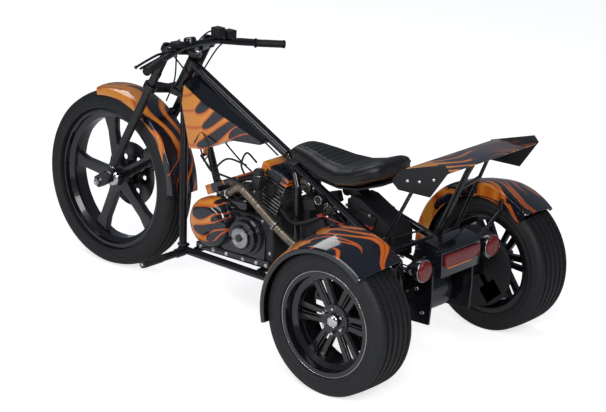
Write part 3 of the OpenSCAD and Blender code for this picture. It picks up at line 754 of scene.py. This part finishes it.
@dataclass
class Bodywork:
    """Flame-painted sheet metal, the tank and the wing."""

    rig: Rig

    def fender(self, side: int) -> None:
        """A rear fender; side is 1 at the left and -1 at the right."""
        word = "left" if side > 0 else "right"
        x0, z0 = FENDER_MID

        def flat(co: Vector, _: Vector) -> tuple[float, float]:
            """Lays the surface flat, in metres."""
            a = math.atan2(co.z - z0, co.x - x0) + math.radians(14)
            r = math.hypot(co.x - x0, co.z - z0)
            y = side * co.y - REAR_Y
            if y > 100:
                y += (FENDER_R - 44 - r)
            elif y < -100:
                y -= (FENDER_R - 8 - r)
            return a * FENDER_R / 1000 - 0.10, y / 1000

        look = flames(f"flames_{word}", pitch=0.082, start=0.37, spread=0.20, length=0.42,
                      seed=3.0 if side > 0 else 8.0, holes=0.62)
        shell = Piece(self.rig, f"fender_{word}", Body.CHASSIS, look, False, 50.0, flat)
        node = f"rear_fender_{word}"
        made = shell.node(node, 3.0, 24.0).done(node)

        def bare(c: Vector, nrm: Vector) -> bool:
            """The underside and the lip are plain black."""
            out = Vector((c.x - x0, 0, c.z - z0))
            on_lip = side * c.y - REAR_Y > 109 and out.length < FENDER_R - 12
            return nrm.dot(out.normalized()) < -0.4 or on_lip

        shell.repaint(made, BLACK_GLOSS, bare)
        edge = Piece(self.rig, f"fender_edge_{word}", Body.CHASSIS, BLACK_GLOSS)
        arc = [math.radians(a) for a in range(-13, 133, 4)]
        edge.sweep([(x0 + 268 * math.cos(a), side * (REAR_Y + 108), z0 + 268 * math.sin(a))
                    for a in arc], 2.6)
        edge.done()

    def front_fender(self) -> None:
        """The front fender."""
        def flat(co: Vector, _: Vector) -> tuple[float, float]:
            """Lays the surface flat, in metres."""
            a = math.radians(102) - math.atan2(co.z - FRONT_R, -(co.x - FRONT_X))
            r = math.hypot(co.x - FRONT_X, co.z - FRONT_R)
            y = co.y if r > 386 else math.copysign(abs(co.y) + 386 - r, co.y)
            return a * 0.39, y / 1000 + 0.012

        look = flames("flames_front", pitch=0.074, start=0.30, spread=0.24, length=0.80, seed=17.0,
                      holes=0.62)
        shell = Piece(self.rig, "fender_front", Body.FORK, look, True, 50.0, flat)
        made = shell.node("front_fender", 2.5, 24.0).done("front_fender")
        shell.repaint(made, BLACK_GLOSS, lambda c, nrm: nrm.dot(
            Vector((c.x - FRONT_X, 0, c.z - FRONT_R)).normalized()) < -0.4)

    def tank(self) -> None:
        """The fuel tank's painted skin."""
        def flat(co: Vector, _: Vector) -> tuple[float, float]:
            """Lays the surface flat, in metres."""
            along = (1182 - co.x) * 0.93 + (900 - co.z) * 0.10
            return along / 1000 - 0.03, (co.z * 0.93 + co.x * 0.30) / 1000

        look = flames("flames_tank", pitch=0.068, start=0.13, spread=0.10, length=0.36, seed=34.0, holes=0.66)
        shell = Piece(self.rig, "tank", Body.CHASSIS, look, False, 40.0, flat)
        made = shell.node("fuel_tank", 5.0, 20.0).done("fuel_tank")
        shell.repaint(made, BLACK_GLOSS, lambda c, nrm: nrm.z > 0.35 or (c.x < 1100 and c.z < 612))

    def wing(self) -> None:
        """The rear wing's blade, end plates and bolts."""
        def flat(co: Vector, _: Vector) -> tuple[float, float]:
            """Lays the surface flat, in metres."""
            along = (280 - co.y) * 0.88 + (-80 - co.x) * 0.47
            return along / 1000, (co.x * 0.88 - co.y * 0.30) / 1000

        # pale=0.55 paints a highlight and a sheen into the blade's flames, lighter as if lit from above.
        look = flames("flames_wing", pitch=0.066, start=0.16, spread=0.14, length=0.62, seed=31.0, holes=0.62,
                      pale=0.55)
        Piece(self.rig, "wing_blade_skin", Body.CHASSIS, look, False, 40.0, flat).node(
            "wing_blade", 2.5, 20.0).done("wing_blade")
        skin(self.rig, "wing_plates_skin", Body.CHASSIS, BLACK_MATT, "wing_plates", 1.0)
        bolts = Piece(self.rig, "wing_bolts", Body.CHASSIS, CHROME)
        for side in (1, -1):
            for x, z in ((-130, 800), (-186, 809), (-252, 830)):
                bolts.lathe([(0, 3.4), (4, 3.0), (6.5, 1.2), (7, 0)], (x, side * 280, z), (0, side, 0), 20)
        bolts.done()
        rim = Piece(self.rig, "wing_plate_edge", Body.CHASSIS, STEEL)
        for side in (1, -1):
            rim.rod((-90, side * 278, 757.5), (-237, side * 278, 760.5), 1.6, sides=8)
        rim.done()

    def cowls(self) -> None:
        """Covers over the heads and the round fan shroud."""
        def over(co: Vector, _: Vector) -> tuple[float, float]:
            """Lays a head cover flat from its front, in metres."""
            return ((1075 if co.x > 830 else 775) - co.x) / 1000, (co.z * 0.8 + abs(co.y) * 0.9) / 1000

        look = flames("flames_cowl", pitch=0.056, start=0.07, spread=0.05, length=0.18, seed=41.0, holes=0.7)
        Piece(self.rig, "cowls", Body.CHASSIS, look, False, 40.0, over).node(
            "cylinder_cowls", 9.0).done("cylinder_cowls")

        def across(co: Vector, _: Vector) -> tuple[float, float]:
            """Lays the shroud's face flat from its front, in metres."""
            dx, dz = co.x - FAN_X, co.z - FAN_Z
            return (104 - dx * 0.9) / 1000, dz / 1000

        look = flames("flames_fan", pitch=0.062, start=0.07, spread=0.04, length=0.21, seed=57.0, holes=0.6)
        shroud = Piece(self.rig, "fan_skin", Body.CHASSIS, look, False, 40.0, across)
        shroud.lathe([(104, 0), (104, 34), (101, 44), (94, 54), (82, 62), (66, 66.5), (0, 68)],
                     (FAN_X, 125.3, FAN_Z), (0, 1, 0), 96).done("fan_shroud")

    def build(self) -> None:
        """All of the bodywork."""
        self.fender(1)
        self.fender(-1)
        self.front_fender()
        self.tank()
        self.wing()
        self.cowls()


@dataclass
class Saddle:
    """The padded seat with its panel, piping and seams."""

    rig: Rig
    top: tuple = ((128, 768), (150, 770), (190, 760), (260, 732), (340, 714), (420, 718), (500, 732),
                  (560, 738), (606, 738), (640, 716), (664, 692))
    low: tuple = ((128, 722), (150, 694), (240, 657), (330, 641), (430, 641), (520, 657), (600, 684),
                  (664, 690))
    wide: tuple = ((128, 110), (150, 132), (240, 146), (330, 142), (420, 120), (520, 92), (600, 76),
                   (650, 52), (664, 30))

    def spot(self, x: float, turn: float, grow: float = 0.0) -> Vector:
        """The surface point at a station and an angle round the section, 0 at the left edge."""
        s = (x - 128) / 536
        ends = max(0.0, 1 - abs(2 * s - 1) ** 9) ** 0.5
        half = table(self.wide, x) * ends + grow
        t, b = table(self.top, x), table(self.low, x)
        mid = b + 0.38 * (t - b)
        c, w = math.cos(turn), math.sin(turn)
        y = half * math.copysign(abs(c) ** 0.62, c)
        if w >= 0:
            share = abs(c) ** 0.62
            z = mid + (t - mid) * (0.35 + 0.65 * ends) * w ** 0.62 + grow * w
            if share < 0.56 and 150 < x < 590:
                z -= 2.6 * (0.5 + 0.5 * math.cos(x * math.tau / 27)) ** 6 * (1 - (share / 0.56) ** 8)
            z -= 3.2 * math.exp(-((share - 0.60) / 0.035) ** 2)
        else:
            z = mid + (b - mid) * abs(w) ** 0.5
        return Vector((x, y, z))

    def build(self) -> None:
        """The cushion and its trims."""
        cushion = Piece(self.rig, "saddle", Body.CHASSIS, LEATHER, sharp=60.0)
        part = bmesh.new()
        bmesh.ops.create_uvsphere(part, u_segments=112, v_segments=170, radius=1.0)
        for v in part.verts:
            x = 396 + 268 * max(-1, min(1, v.co.z))
            v.co = self.spot(x, math.atan2(v.co.y, v.co.x))
        cushion.absorb(part, Matrix())
        made = cushion.done("seat_cushion")
        cushion.repaint(made, TAN, lambda c, nrm: nrm.z < -0.25 and c.x < 330 and nrm.z > -0.93)
        trim = Piece(self.rig, "saddle_piping", Body.CHASSIS, LEATHER)
        stations = [140 + 518 * i / 60 for i in range(61)]
        for side in (0.16, math.pi - 0.16):
            trim.sweep([self.spot(x, side, 0.6) for x in stations], 3.0, 2)
        trim.done()
        seams = Piece(self.rig, "saddle_seams", Body.CHASSIS, THREAD)
        turn = math.acos(0.66 ** (1 / 0.62))
        for at in (turn, math.pi - turn):
            for i in range(96):
                x = 152 + i * 4.7
                seams.rod(self.spot(x, at, 0.3), self.spot(x + 2.7, at, 0.3), 0.7, sides=6)
        seams.done()


@dataclass
class Engine:
    """The V-twin's fine shapes, the exhaust and its hoses."""

    rig: Rig

    def build(self) -> None:
        """Everything round the engine."""
        skin(self.rig, "barrels", Body.CHASSIS, ALLOY, "cylinders", 1.5)
        skin(self.rig, "crankcase", Body.CHASSIS, DARK_ALLOY, "engine_block", 14.0)
        skin(self.rig, "drum", Body.CHASSIS, BLACK_GLOSS, "belt_cover", 3.0)
        self.heads()
        self.left_side()
        self.right_side()
        self.pipes()
        self.looms()

    def heads(self) -> None:
        """Rocker bolts, plugs, studs and pushrod tubes."""
        bright = Piece(self.rig, "head_bright", Body.CHASSIS, CHROME)
        dark = Piece(self.rig, "head_dark", Body.CHASSIS, DARK_ALLOY)
        for foot, lean, height in (((912, 406), 24, 120), ((762, 406), -20, 222)):
            a = math.radians(lean)
            up, ahead = Vector((math.sin(a), 0, math.cos(a))), Vector((math.cos(a), 0, -math.sin(a)))
            base = Vector((foot[0], 0, foot[1]))
            for side in (1, -1):
                out = Vector((0, side, 0))
                for k in (-40, -13, 14, 41):
                    bright.bolt(base + up * (height - 38) + ahead * k + out * 70.2, out, 5.2)
                for k in (-52, 52):
                    bright.rod(base + up * 4 + ahead * k + out * 52, base + up * (height - 44) + ahead * k
                               + out * 52, 4.2, sides=12)
                dark.box(base + up * (height - 22) + out * 76 + ahead * 4, (78, 12, 26), (0, lean, 0), 4)
                if height > 200:
                    for k in range(5):
                        dark.box(base + up * (height - 70 - 9 * k) + out * 73, (58, 8, 4), (0, lean, 0), 1)
            for k in (-24, 24):
                low = base + up * 8 + ahead * k + Vector((0, -88, 0))
                bright.sweep([low, low + up * (height - 60), base + up * (height - 34) + ahead * k * 0.6
                              + Vector((0, -72, 0))], 8.5, 6)
        bright.done()
        dark.done()

    def left_side(self) -> None:
        """Fan shroud trims, drum disc, side plate and base with its bolts."""
        steel = Piece(self.rig, "drum_disc", Body.CHASSIS, STEEL)
        steel.lathe([(0, 9.8), (14, 9.8), (15, 8.2), (38, 8.2), (44, 6), (46, 0)],
                    (DRUM_X, 184.6, DRUM_Z), (0, 1, 0), 72)
        for r in (20, 27, 34):
            steel.ring((DRUM_X, 192.9, DRUM_Z), (0, 1, 0), r, 0.7, 64)
        steel.bolt((DRUM_X, 194.2, DRUM_Z), (0, 1, 0), 8, 4)
        steel.done()
        dark = Piece(self.rig, "case_covers", Body.CHASSIS, BLACK_GLOSS)
        dark.box((850, 128, 300), (330, 14, 120), (0, 0, 0), 6)
        dark.box((850, 132, 243), (392, 26, 30), (0, 0, 0), 4)
        dark.lathe([(92, 0), (92, 10), (86, 15), (0, 16)], (850, 125, 330), (0, 1, 0), 64)
        dark.box((868, 96, 452), (150, 58, 44), (0, 6, 0), 8)
        dark.lathe([(78, 0), (80, 6), (80, 24), (70, 30), (0, 31)], (DRUM_X, 125.5, DRUM_Z), (0, 1, 0), 72)
        for r, h in ((64, 40), (56, 50), (50, 56)):
            dark.ring((DRUM_X, 125.5 + h, DRUM_Z), (0, 1, 0), r, 2.6, 72)
        dark.done()
        bolts = Piece(self.rig, "case_bolts", Body.CHASSIS, CHROME)
        for x in (668, 720, 790, 880, 950, 1020):
            bolts.bolt((x, 145, 243), (0, 1, 0), 6)
            bolts.bolt((x, -125, 243), (0, -1, 0), 6)
        for i in range(8):
            a = math.radians(45 * i + 12)
            bolts.bolt((FAN_X + 98 * math.cos(a), 159, FAN_Z + 98 * math.sin(a)), (0, 1, 0), 3.2)
        for x, z in ((660, 400), (706, 415), (1030, 396), (1036, 300), (664, 290)):
            bolts.bolt((x, 126, z), (0, 1, 0), 5)
        bolts.done()

    def right_side(self) -> None:
        """Timing cover, filter and air cleaner at the right."""
        dark = Piece(self.rig, "right_covers", Body.CHASSIS, BLACK_GLOSS)
        dark.lathe([(70, 0), (70, 16), (60, 24), (0, 26)], (900, -125, 330), (0, -1, 0), 64)
        dark.lathe([(88, 0), (88, 20), (76, 30), (0, 32)], (760, -125, 322), (0, -1, 0), 64)
        dark.lathe([(36, 0), (36, 60), (30, 66), (0, 66)], (1040, -60, 300), (1, -0.3, 0), 40)
        dark.done()
        bright = Piece(self.rig, "air_cleaner", Body.CHASSIS, CHROME)
        bright.lathe([(0, 34), (50, 32), (66, 26), (72, 16), (72, 4), (66, 0)],
                     (836, -104, 520), (0, -1, 0), 64)
        for i in range(6):
            a = math.radians(60 * i)
            bright.bolt((900 + 60 * math.cos(a), -143, 330 + 60 * math.sin(a)), (0, -1, 0), 4)
            bright.bolt((760 + 76 * math.cos(a), -146, 322 + 76 * math.sin(a)), (0, -1, 0), 4)
        bright.done()
        ribs = Piece(self.rig, "air_filter_mesh", Body.CHASSIS, DARK_ALLOY)
        for k in range(5):
            ribs.ring((836, -106 - 5 * k, 520), (0, 1, 0), 68, 1.6, 56)
        ribs.done()

    def pipes(self) -> None:
        """Ribbed exhaust pipes and the carburettor."""
        pipe = Piece(self.rig, "exhaust_ribs", Body.CHASSIS, WRAP, sharp=80.0)
        for side in (1, -1):
            pipe.sweep([(919, 70 * side, 471), (919, 96 * side, 471), (872, 124 * side, 505),
                        (830, 142 * side, 531), (778, 150 * side, 526), (560, 158 * side, 396),
                        (380, 160 * side, 331), (252, 160 * side, 305)], 19.0,
                       rib=lambda run: 0.90 + 0.10 * math.cos(run * math.tau / 9.0), step=2.6)
        pipe.done("exhaust")
        ends = Piece(self.rig, "exhaust_clamps", Body.CHASSIS, STEEL)
        for side in (1, -1):
            ends.ring((900, 108 * side, 484), (-0.7, 0.5 * side, 0.5), 20, 3, 32)
            ends.ring((610, 156.5 * side, 425), (-0.86, 0.03, -0.51), 20.5, 3, 32)
            ends.ring((262, 160 * side, 307), (-1, 0, -0.2), 19.5, 3, 32)
        ends.done()
        carb = Piece(self.rig, "carburettor_body", Body.CHASSIS, DARK_ALLOY)
        carb.rod((754, 98, 470), (754, 98, 614), 14.5, bevel=2)
        carb.box((758, 98, 560), (44, 40, 52), (0, -12, 0), 6)
        carb.lathe([(20, 0), (22, 6), (22, 22), (16, 28), (0, 30)], (754, 98, 588), (0, 0, 1), 32)
        carb.rod((754, 98, 432), (754, 98, 470), 12)
        carb.done("carburettor")
        trim = Piece(self.rig, "carburettor_trim", Body.CHASSIS, CHROME)
        trim.bolt((754, 98, 617), (0, 0, 1), 5)
        trim.ring((754, 98, 590), (0, 0, 1), 21, 1.6, 32)
        trim.sweep([(772, 118, 566), (800, 126, 560), (824, 120, 540)], 4, 6)
        trim.done()

    def looms(self) -> None:
        """Plug leads, oil lines, vent hoses and the clutter behind the engine."""
        hose = Piece(self.rig, "hoses", Body.CHASSIS, RUBBER)
        for side in (1, -1):
            hose.sweep([(968, 66 * side, 500), (1010, 84 * side, 540), (960, 60 * side, 606),
                        (880, 30 * side, 590)], 4.2)
            hose.sweep([(690, 74 * side, 560), (650, 96 * side, 540), (632, 80 * side, 480),
                        (648, 60 * side, 420)], 5)
        hose.sweep([(640, 90, 470), (560, 110, 440), (470, 92, 470), (360, 64, 540)], 8)
        hose.sweep([(640, 60, 330), (540, 90, 300), (420, 100, 330), (280, 72, 400)], 7)
        hose.sweep([(650, -90, 430), (560, -100, 380), (440, -96, 400), (320, -66, 470)], 8)
        hose.sweep([(330, 60, 470), (420, 40, 520), (500, 30, 560), (570, 20, 600)], 5)
        hose.sweep([(1056, 94, 582), (1010, 110, 640), (1070, 88, 700), (1110, 92, 650)], 3)
        hose.sweep([(100, 50, 470), (40, 60, 500), (-40, 40, 530), (-90, 20, 500)], 4)
        hose.sweep([(96, -40, 440), (40, -90, 430), (-30, -80, 470), (-96, -60, 500)], 5)
        hose.done()
        line = Piece(self.rig, "braided_lines", Body.CHASSIS, STEEL)
        line.sweep([(-20, 110, 400), (-40, 200, 430), (-30, 300, 380), (-60, 352, 330)], 3.2,
                   rib=lambda run: 0.94 + 0.06 * math.cos(run * 2.2), step=3)
        line.sweep([(-20, -110, 400), (-40, -200, 430), (-30, -300, 380), (-60, -352, 330)], 3.2,
                   rib=lambda run: 0.94 + 0.06 * math.cos(run * 2.2), step=3)
        line.sweep([(300, 66, 420), (220, 90, 400), (120, 100, 430), (20, 90, 420)], 4,
                   rib=lambda run: 0.94 + 0.06 * math.cos(run * 2.2), step=3)
        line.done()
        clutter = Piece(self.rig, "rear_clutter", Body.CHASSIS, BLACK_MATT)
        clutter.box((452, 0, 300), (170, 130, 110), (0, 0, 0), 10)
        clutter.box((470, 66, 420), (110, 30, 90), (0, 20, 0), 6)
        clutter.box((560, 0, 470), (60, 90, 120), (0, 0, 0), 6)
        clutter.rod((400, -70, 470), (400, 70, 470), 26, bevel=4)
        clutter.rod((380, 84, 350), (250, 84, 350), 30, bevel=5)
        clutter.rod((200, 0, 283), (640, 0, 300), 16)
        for side in (1, -1):
            clutter.box((150, 66 * side, 448), (70, 14, 44), (0, 12, 0), 5)
            clutter.box((232, 63 * side, 520), (96, 10, 54), (0, -14, 0), 5)
            clutter.box((500, 76 * side, 520), (60, 26, 46), (0, 18, 0), 6)
            clutter.rod((436, 60 * side, 560), (436, 110 * side, 560), 20, bevel=4)
            clutter.rod((330, 92 * side, 420), (470, 104 * side, 380), 13, bevel=3)
            clutter.rod((40, 100 * side, 330), (210, 96 * side, 366), 10, bevel=2)
            clutter.lathe([(0, 0), (26, 0), (30, 6), (30, 52), (24, 60), (0, 60)],
                          (236, 70 * side, 436), (0, side, 0), 40)
        clutter.done()
        small = Piece(self.rig, "rear_fittings", Body.CHASSIS, RED_PAINT)
        for side in (1, -1):
            small.rod((196, 64 * side, 494), (196, 78 * side, 494), 8, sides=12)
            small.rod((276, 66 * side, 476), (276, 82 * side, 476), 7, sides=12)
            small.box((424, 108 * side, 500), (26, 10, 14), (0, 20, 0), 2)
            small.sweep([(196, 76 * side, 494), (236, 92 * side, 506), (300, 96 * side, 486),
                         (420, 104 * side, 500)], 3)
        small.done()
        steel = Piece(self.rig, "rear_fasteners", Body.CHASSIS, STEEL)
        for side in (1, -1):
            for x, z in ((126, 466), (172, 432), (206, 540), (262, 508), (300, 400), (320, 560)):
                steel.bolt((x, 74 * side, z), (0, side, 0), 5)
            steel.ring((236, 131 * side, 436), (0, 1, 0), 25, 1.6, 40)
            steel.bolt((236, 131 * side, 436), (0, side, 0), 9)
            steel.ring((436, 110 * side, 560), (0, 1, 0), 17, 1.6, 32)
        steel.done()


@dataclass
class Cockpit:
    """Fork, bar, levers, cables and gauge."""

    rig: Rig

    def build(self) -> None:
        """Everything that turns with the fork, and the cables from it."""
        fork = Piece(self.rig, "fork_yokes_skin", Body.FORK, BLACK_FRAME, True)
        fork.node("fork_yokes", 2.5).done("fork_yokes")
        Piece(self.rig, "controls_skin", Body.FORK, BLACK_MATT, True).node(
            "bar_controls", 3.0).done("bar_controls")
        Piece(self.rig, "caliper_front", Body.FORK, BLACK_GLOSS, True).node(
            "front_caliper", 4.0).done("front_caliper")
        grip = Piece(self.rig, "grip_ribs", Body.FORK, RUBBER, True, 80.0)
        for side in (1, -1):
            a, b = Vector((1119, 268 * side, 1009)), Vector((1070.5, 391 * side, 995.6))
            grip.sweep([a, (a + b) / 2, b], 16.6, rib=lambda run: 0.93 + 0.07 * math.cos(run * 0.9), step=2.0)
            way = (b - a).normalized()
            grip.rod(b - way * 4, b, 18, bevel=1.5)
            grip.rod(a, a + way * 5, 20, bevel=2)
        grip.done("grips")
        bright = Piece(self.rig, "fork_bright", Body.FORK, CHROME, True)
        tilt = Vector((-math.sin(math.radians(29)), 0, math.cos(math.radians(29))))
        for side in (1, -1):
            top = Vector((AXIS_FOOT_X - 1016 * LEAN + 64.03, 116 * side, 1016))
            bright.rod(top, top + tilt * 7, 14, 11, bevel=1.5)
            bright.bolt(top + tilt * 6, tilt, 7)
            bright.bolt((1620, 132 * side, 376), (0, side, 0), 11, 14)
            for dz in (0, 26):
                low = Vector((AXIS_FOOT_X - (436 + dz) * LEAN + 64, 116 * side, 436 + dz))
                bright.ring(low, tilt, 18.8, 1.3, 32)
            bright.bolt((1600, 132.5 * side, 392), (0, side, 0), 4.5)
        bright.bolt(Vector((1185.2, 0, 990)) + tilt * 12, tilt, 13, 12)
        bright.done()
        dark = Piece(self.rig, "fork_dark", Body.FORK, BLACK_FRAME, True)
        for side in (1, -1):
            for z in (560, 900):
                low = Vector((AXIS_FOOT_X - z * LEAN + 64.03, 116 * side, z))
                dark.rod(low - tilt * 12, low + tilt * 12, 20.5, bevel=2)
        dark.lathe([(0, 14), (18, 13.5), (24, 10), (26, 4), (26, -14)], (1176, 52, 1054), (0.2, 0, 1), 40)
        dark.rod((1176, 52, 1022), (1176, 52, 1044), 8)
        dark.box((1160, 172, 1036), (26, 34, 24), (0, 0, -14), 5)
        dark.box((1160, -172, 1036), (26, 34, 24), (0, 0, 14), 5)
        dark.done()
        lever = Piece(self.rig, "levers", Body.FORK, BLACK_GLOSS, True)
        for side in (1, -1):
            lever.sweep([(1170, 180 * side, 1024), (1176, 230 * side, 1020), (1166, 300 * side, 1008),
                         (1150, 372 * side, 996)], 5.2)
            lever.rod((1150, 370 * side, 996), (1149, 377 * side, 995), 7.5, bevel=2)
        lever.done()
        cable = Piece(self.rig, "bar_cables", Body.FORK, RUBBER, True)
        for pts in (
            [(1172, 160, 1028), (1224, 120, 1020), (1236, 60, 960), (1210, 20, 900)],
            [(1172, -160, 1028), (1226, -130, 1026), (1240, -60, 960), (1216, -20, 890)],
            [(1168, -120, 1060), (1214, -90, 1062), (1246, -40, 990), (1230, -10, 880)],
            [(1168, 118, 1052), (1200, 90, 1056), (1236, 66, 990), (1244, 66, 880), (1266, 88, 790)],
            [(1150, -200, 1020), (1216, -170, 1000), (1258, -120, 900), (1330, -100, 760), (1480, -104, 560),
             (1548, -84, 480)],
        ):
            cable.sweep(pts, 3.4)
        cable.done()
        loom = Piece(self.rig, "frame_cables", Body.CHASSIS, RUBBER)
        for pts in (
            [(1186, 30, 870), (1160, 44, 780), (1120, 60, 660), (1040, 92, 570), (960, 90, 520)],
            [(1180, -30, 870), (1150, -50, 770), (1110, -66, 650), (1030, -90, 560), (950, -86, 520)],
            [(1140, 20, 905), (1000, 24, 826), (860, 24, 744), (720, 24, 664)],
        ):
            loom.sweep(pts, 3.6)
        loom.done()


@dataclass
class Rear:
    """Tail lamps, axle, calipers and frame trims."""

    rig: Rig

    def build(self) -> None:
        """The tail and the axle."""
        skin(self.rig, "tail_box", Body.CHASSIS, BLACK_GLOSS, "tail_housing", 7.0)
        skin(self.rig, "caliper_rear", Body.CHASSIS, BLACK_GLOSS, "rear_calipers", 4.0)
        skin(self.rig, "battery_skin", Body.CHASSIS, BLACK_MATT, "battery_box", 5.0)
        skin(self.rig, "plates_skin", Body.CHASSIS, BLACK_FRAME, "axle_carrier", 1.5)
        lens = Piece(self.rig, "lenses", Body.CHASSIS, RED_LENS)
        lens.box((-190.2, 0, 458), (11.4, 216, 48), (0, 0, 0), 4)
        for x, y, z in both(-175.6, 212, 442):
            lens.lathe([(40, 0), (40, 5), (35, 10), (22, 13), (0, 14)], (x, y, z), (-1, 0, 0), 48)
        lens.done("lamp_lenses")
        shell = Piece(self.rig, "lamp_shells", Body.CHASSIS, BLACK_GLOSS)
        for x, y, z in both(-109.3, 212, 442):
            shell.lathe([(0, 0), (12, 0.5), (24, 6), (34, 18), (41, 36), (44, 56), (44, 62), (42, 66),
                         (0, 64)], (x, y, z), (-1, 0, 0), 56)
        shell.done("lamp_bodies")
        bright = Piece(self.rig, "rear_bright", Body.CHASSIS, CHROME)
        for x, y, z in both(-173.5, 212, 442):
            bright.ring((x, y, z), (1, 0, 0), 42.4, 1.8, 56)
        for i in range(10):
            a = math.radians(36 * i)
            for side in (1, -1):
                bright.bolt((78 * math.cos(a), 78.2 * side, 283 + 78 * math.sin(a)), (0, side, 0), 5.5)
        for side in (1, -1):
            for x, z in ((-110, 240), (40, 236), (70, 280), (-120, 400), (-80, 330)):
                bright.bolt((x, 130.2 * side, z), (0, side, 0), 7)
            bright.bolt((1102, 399 * side, 205), (0, side, 0), 8, 3)
        bright.done()
        knurl = Piece(self.rig, "peg_rubber", Body.CHASSIS, RUBBER, False, 80.0)
        for side in (1, -1):
            knurl.sweep([(1102, 290 * side, 205), (1102, 344 * side, 205), (1102, 396 * side, 205)], 17.2,
                        rib=lambda run: 0.94 + 0.06 * math.cos(run * 0.75), step=2.4)
        knurl.done()
        shields = Piece(self.rig, "dust_shields", Body.CHASSIS, BLACK_MATT)
        for side in (1, -1):
            shields.lathe([(36, 0), (158, 0), (164, 4), (164, 12), (160, 12), (154, 5), (36, 5)],
                          (0, (REAR_Y - 140) * side, REAR_R), (0, side, 0), 80)
        shields.done()
        joint = Piece(self.rig, "gussets", Body.CHASSIS, BLACK_FRAME)
        for side in (1, -1):
            joint.box((642, 33 * side, 640), (86, 5, 54), (0, 32, 6 * side), 2)
            joint.box((1120, 139 * side, 226), (44, 30, 14), (0, 0, 0), 4)
            joint.rod((1198, 33 * side, 822), (1216, 30 * side, 846), 19, bevel=3)
        joint.done()
        stroke = Piece(self.rig, "tail_stroke", Body.CHASSIS, Finish(
            "stroke_orange", "flame_paint", (0.85, 0.2, 0.02), rough=0.2, coat=1.0))
        stroke.box((-184.6, 6, 424), (1.6, 150, 7), (0, 0, 0), 0.6)
        stroke.done()


@dataclass
class Studio:
    """Camera, lights and floor."""

    rig: Rig

    def lamp(self, name: str, at: Point, look: Point, size: Point, power: float) -> None:
        """One soft area light."""
        data = bpy.data.lights.new(name, "AREA")
        data.shape, data.size, data.size_y, data.energy = "RECTANGLE", size[0], size[1], power
        lamp = bpy.data.objects.new(name, data)
        lamp.location = at
        lamp.rotation_euler = (Vector(look) - Vector(at)).to_track_quat("-Z", "Y").to_euler()
        bpy.context.scene.collection.objects.link(lamp)

    def build(self) -> None:
        """The picture's camera, light and floor."""
        scene = bpy.context.scene
        az, el, roll = math.radians(130.156), math.radians(17.707), math.radians(1.425)
        back = Vector((math.cos(el) * math.cos(az), math.cos(el) * math.sin(az), math.sin(el)))
        x = Vector((0, 0, 1)).cross(back).normalized()
        y = back.cross(x)
        xr, yr = x * math.cos(roll) + y * math.sin(roll), y * math.cos(roll) - x * math.sin(roll)
        data = bpy.data.cameras.new("camera")
        data.sensor_fit, data.sensor_width, data.lens = "HORIZONTAL", 36.0, 154.5
        data.clip_end = 200
        camera = bpy.data.objects.new("camera", data)
        turn = Matrix((xr, yr, back)).transposed().to_4x4()
        camera.matrix_world = Matrix.Translation((-5.738 + self.rig.axle_x, 7.517, 3.614)) @ turn
        scene.collection.objects.link(camera)
        scene.camera = camera
        part = bmesh.new()
        bmesh.ops.create_grid(part, x_segments=1, y_segments=1, size=60)
        mesh = bpy.data.meshes.new("floor")
        part.to_mesh(mesh)
        part.free()
        floor = bpy.data.objects.new("floor", mesh)
        scene.collection.objects.link(floor)
        pale = bpy.data.materials.new("m_floor")
        pale.use_nodes = True
        shader = pale.node_tree.nodes["Principled BSDF"]
        shader.inputs["Base Color"].default_value = (0.93, 0.93, 0.93, 1)
        shader.inputs["Roughness"].default_value = 0.9
        shader.inputs["Specular IOR Level"].default_value = 0.1
        f = Nodes(pale.node_tree)
        seen = f.add("ShaderNodeLightPath").outputs["Is Camera Ray"]
        shader.inputs["Emission Color"].default_value = (1, 1, 1, 1)
        f.put(shader.inputs["Emission Strength"], f.math("MULTIPLY", seen, 0.74))
        mesh.materials.append(pale)
        world = bpy.data.worlds.new("studio")
        world.use_nodes = True
        n = Nodes(world.node_tree)
        sky = world.node_tree.nodes["Background"]
        ray = n.add("ShaderNodeLightPath")
        n.put(sky.inputs["Color"], n.mix(ray.outputs["Is Camera Ray"], (0.10, 0.112, 0.135, 1), (1, 1, 1, 1)))
        sky.inputs["Strength"].default_value = 1.0
        scene.world = world
        scene.view_settings.view_transform = "Standard"
        self.lamp("key", (-5.2, 4.6, 4.2), (-0.3, 0, 0.4), (2.4, 2.4), 200)
        self.lamp("over", (-1.0, 3.4, 5.6), (0, 0, 0.4), (4.2, 2.6), 85)
        self.lamp("side", (1.5, 6.0, 2.2), (0, 0, 0.5), (2.6, 1.0), 45)
        self.lamp("rim", (3.5, -2.0, 5.0), (0, 0, 0.5), (2.4, 2.4), 45)


def dress_rest(rig: Rig) -> None:
    """Gives every CAD node that still shows its finish.

    Args:
        rig: The part's frame.
    """
    plain = {
        "frame_black": BLACK_FRAME, "gloss_black": BLACK_GLOSS, "matt_black": BLACK_MATT, "steel": STEEL,
        "rubber_black": RUBBER, "bare_alloy": ALLOY, "exhaust_wrap": WRAP, "lamp_red": RED_LENS,
        "tyre_rubber": TYRE, "seat_leather": LEATHER, "flame_paint": BLACK_GLOSS,
    }
    for name, obj in rig.frame["nodes"].items():
        if obj.hide_render:
            continue
        obj.data.materials.clear()
        obj.data.materials.append(material(plain[rig.slots[name]]))
        obj.data.shade_smooth()
        obj.data.set_sharp_from_angle(angle=math.radians(38))


def main() -> None:
    """Builds the scene."""
    rig = Rig(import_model())
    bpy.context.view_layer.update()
    for part in (Wheels, Bodywork, Saddle, Engine, Cockpit, Rear):
        part(rig).build()
    dress_rest(rig)
    Studio(rig).build()
    bpy.context.view_layer.update()


if __name__ == "__main__":
    main()
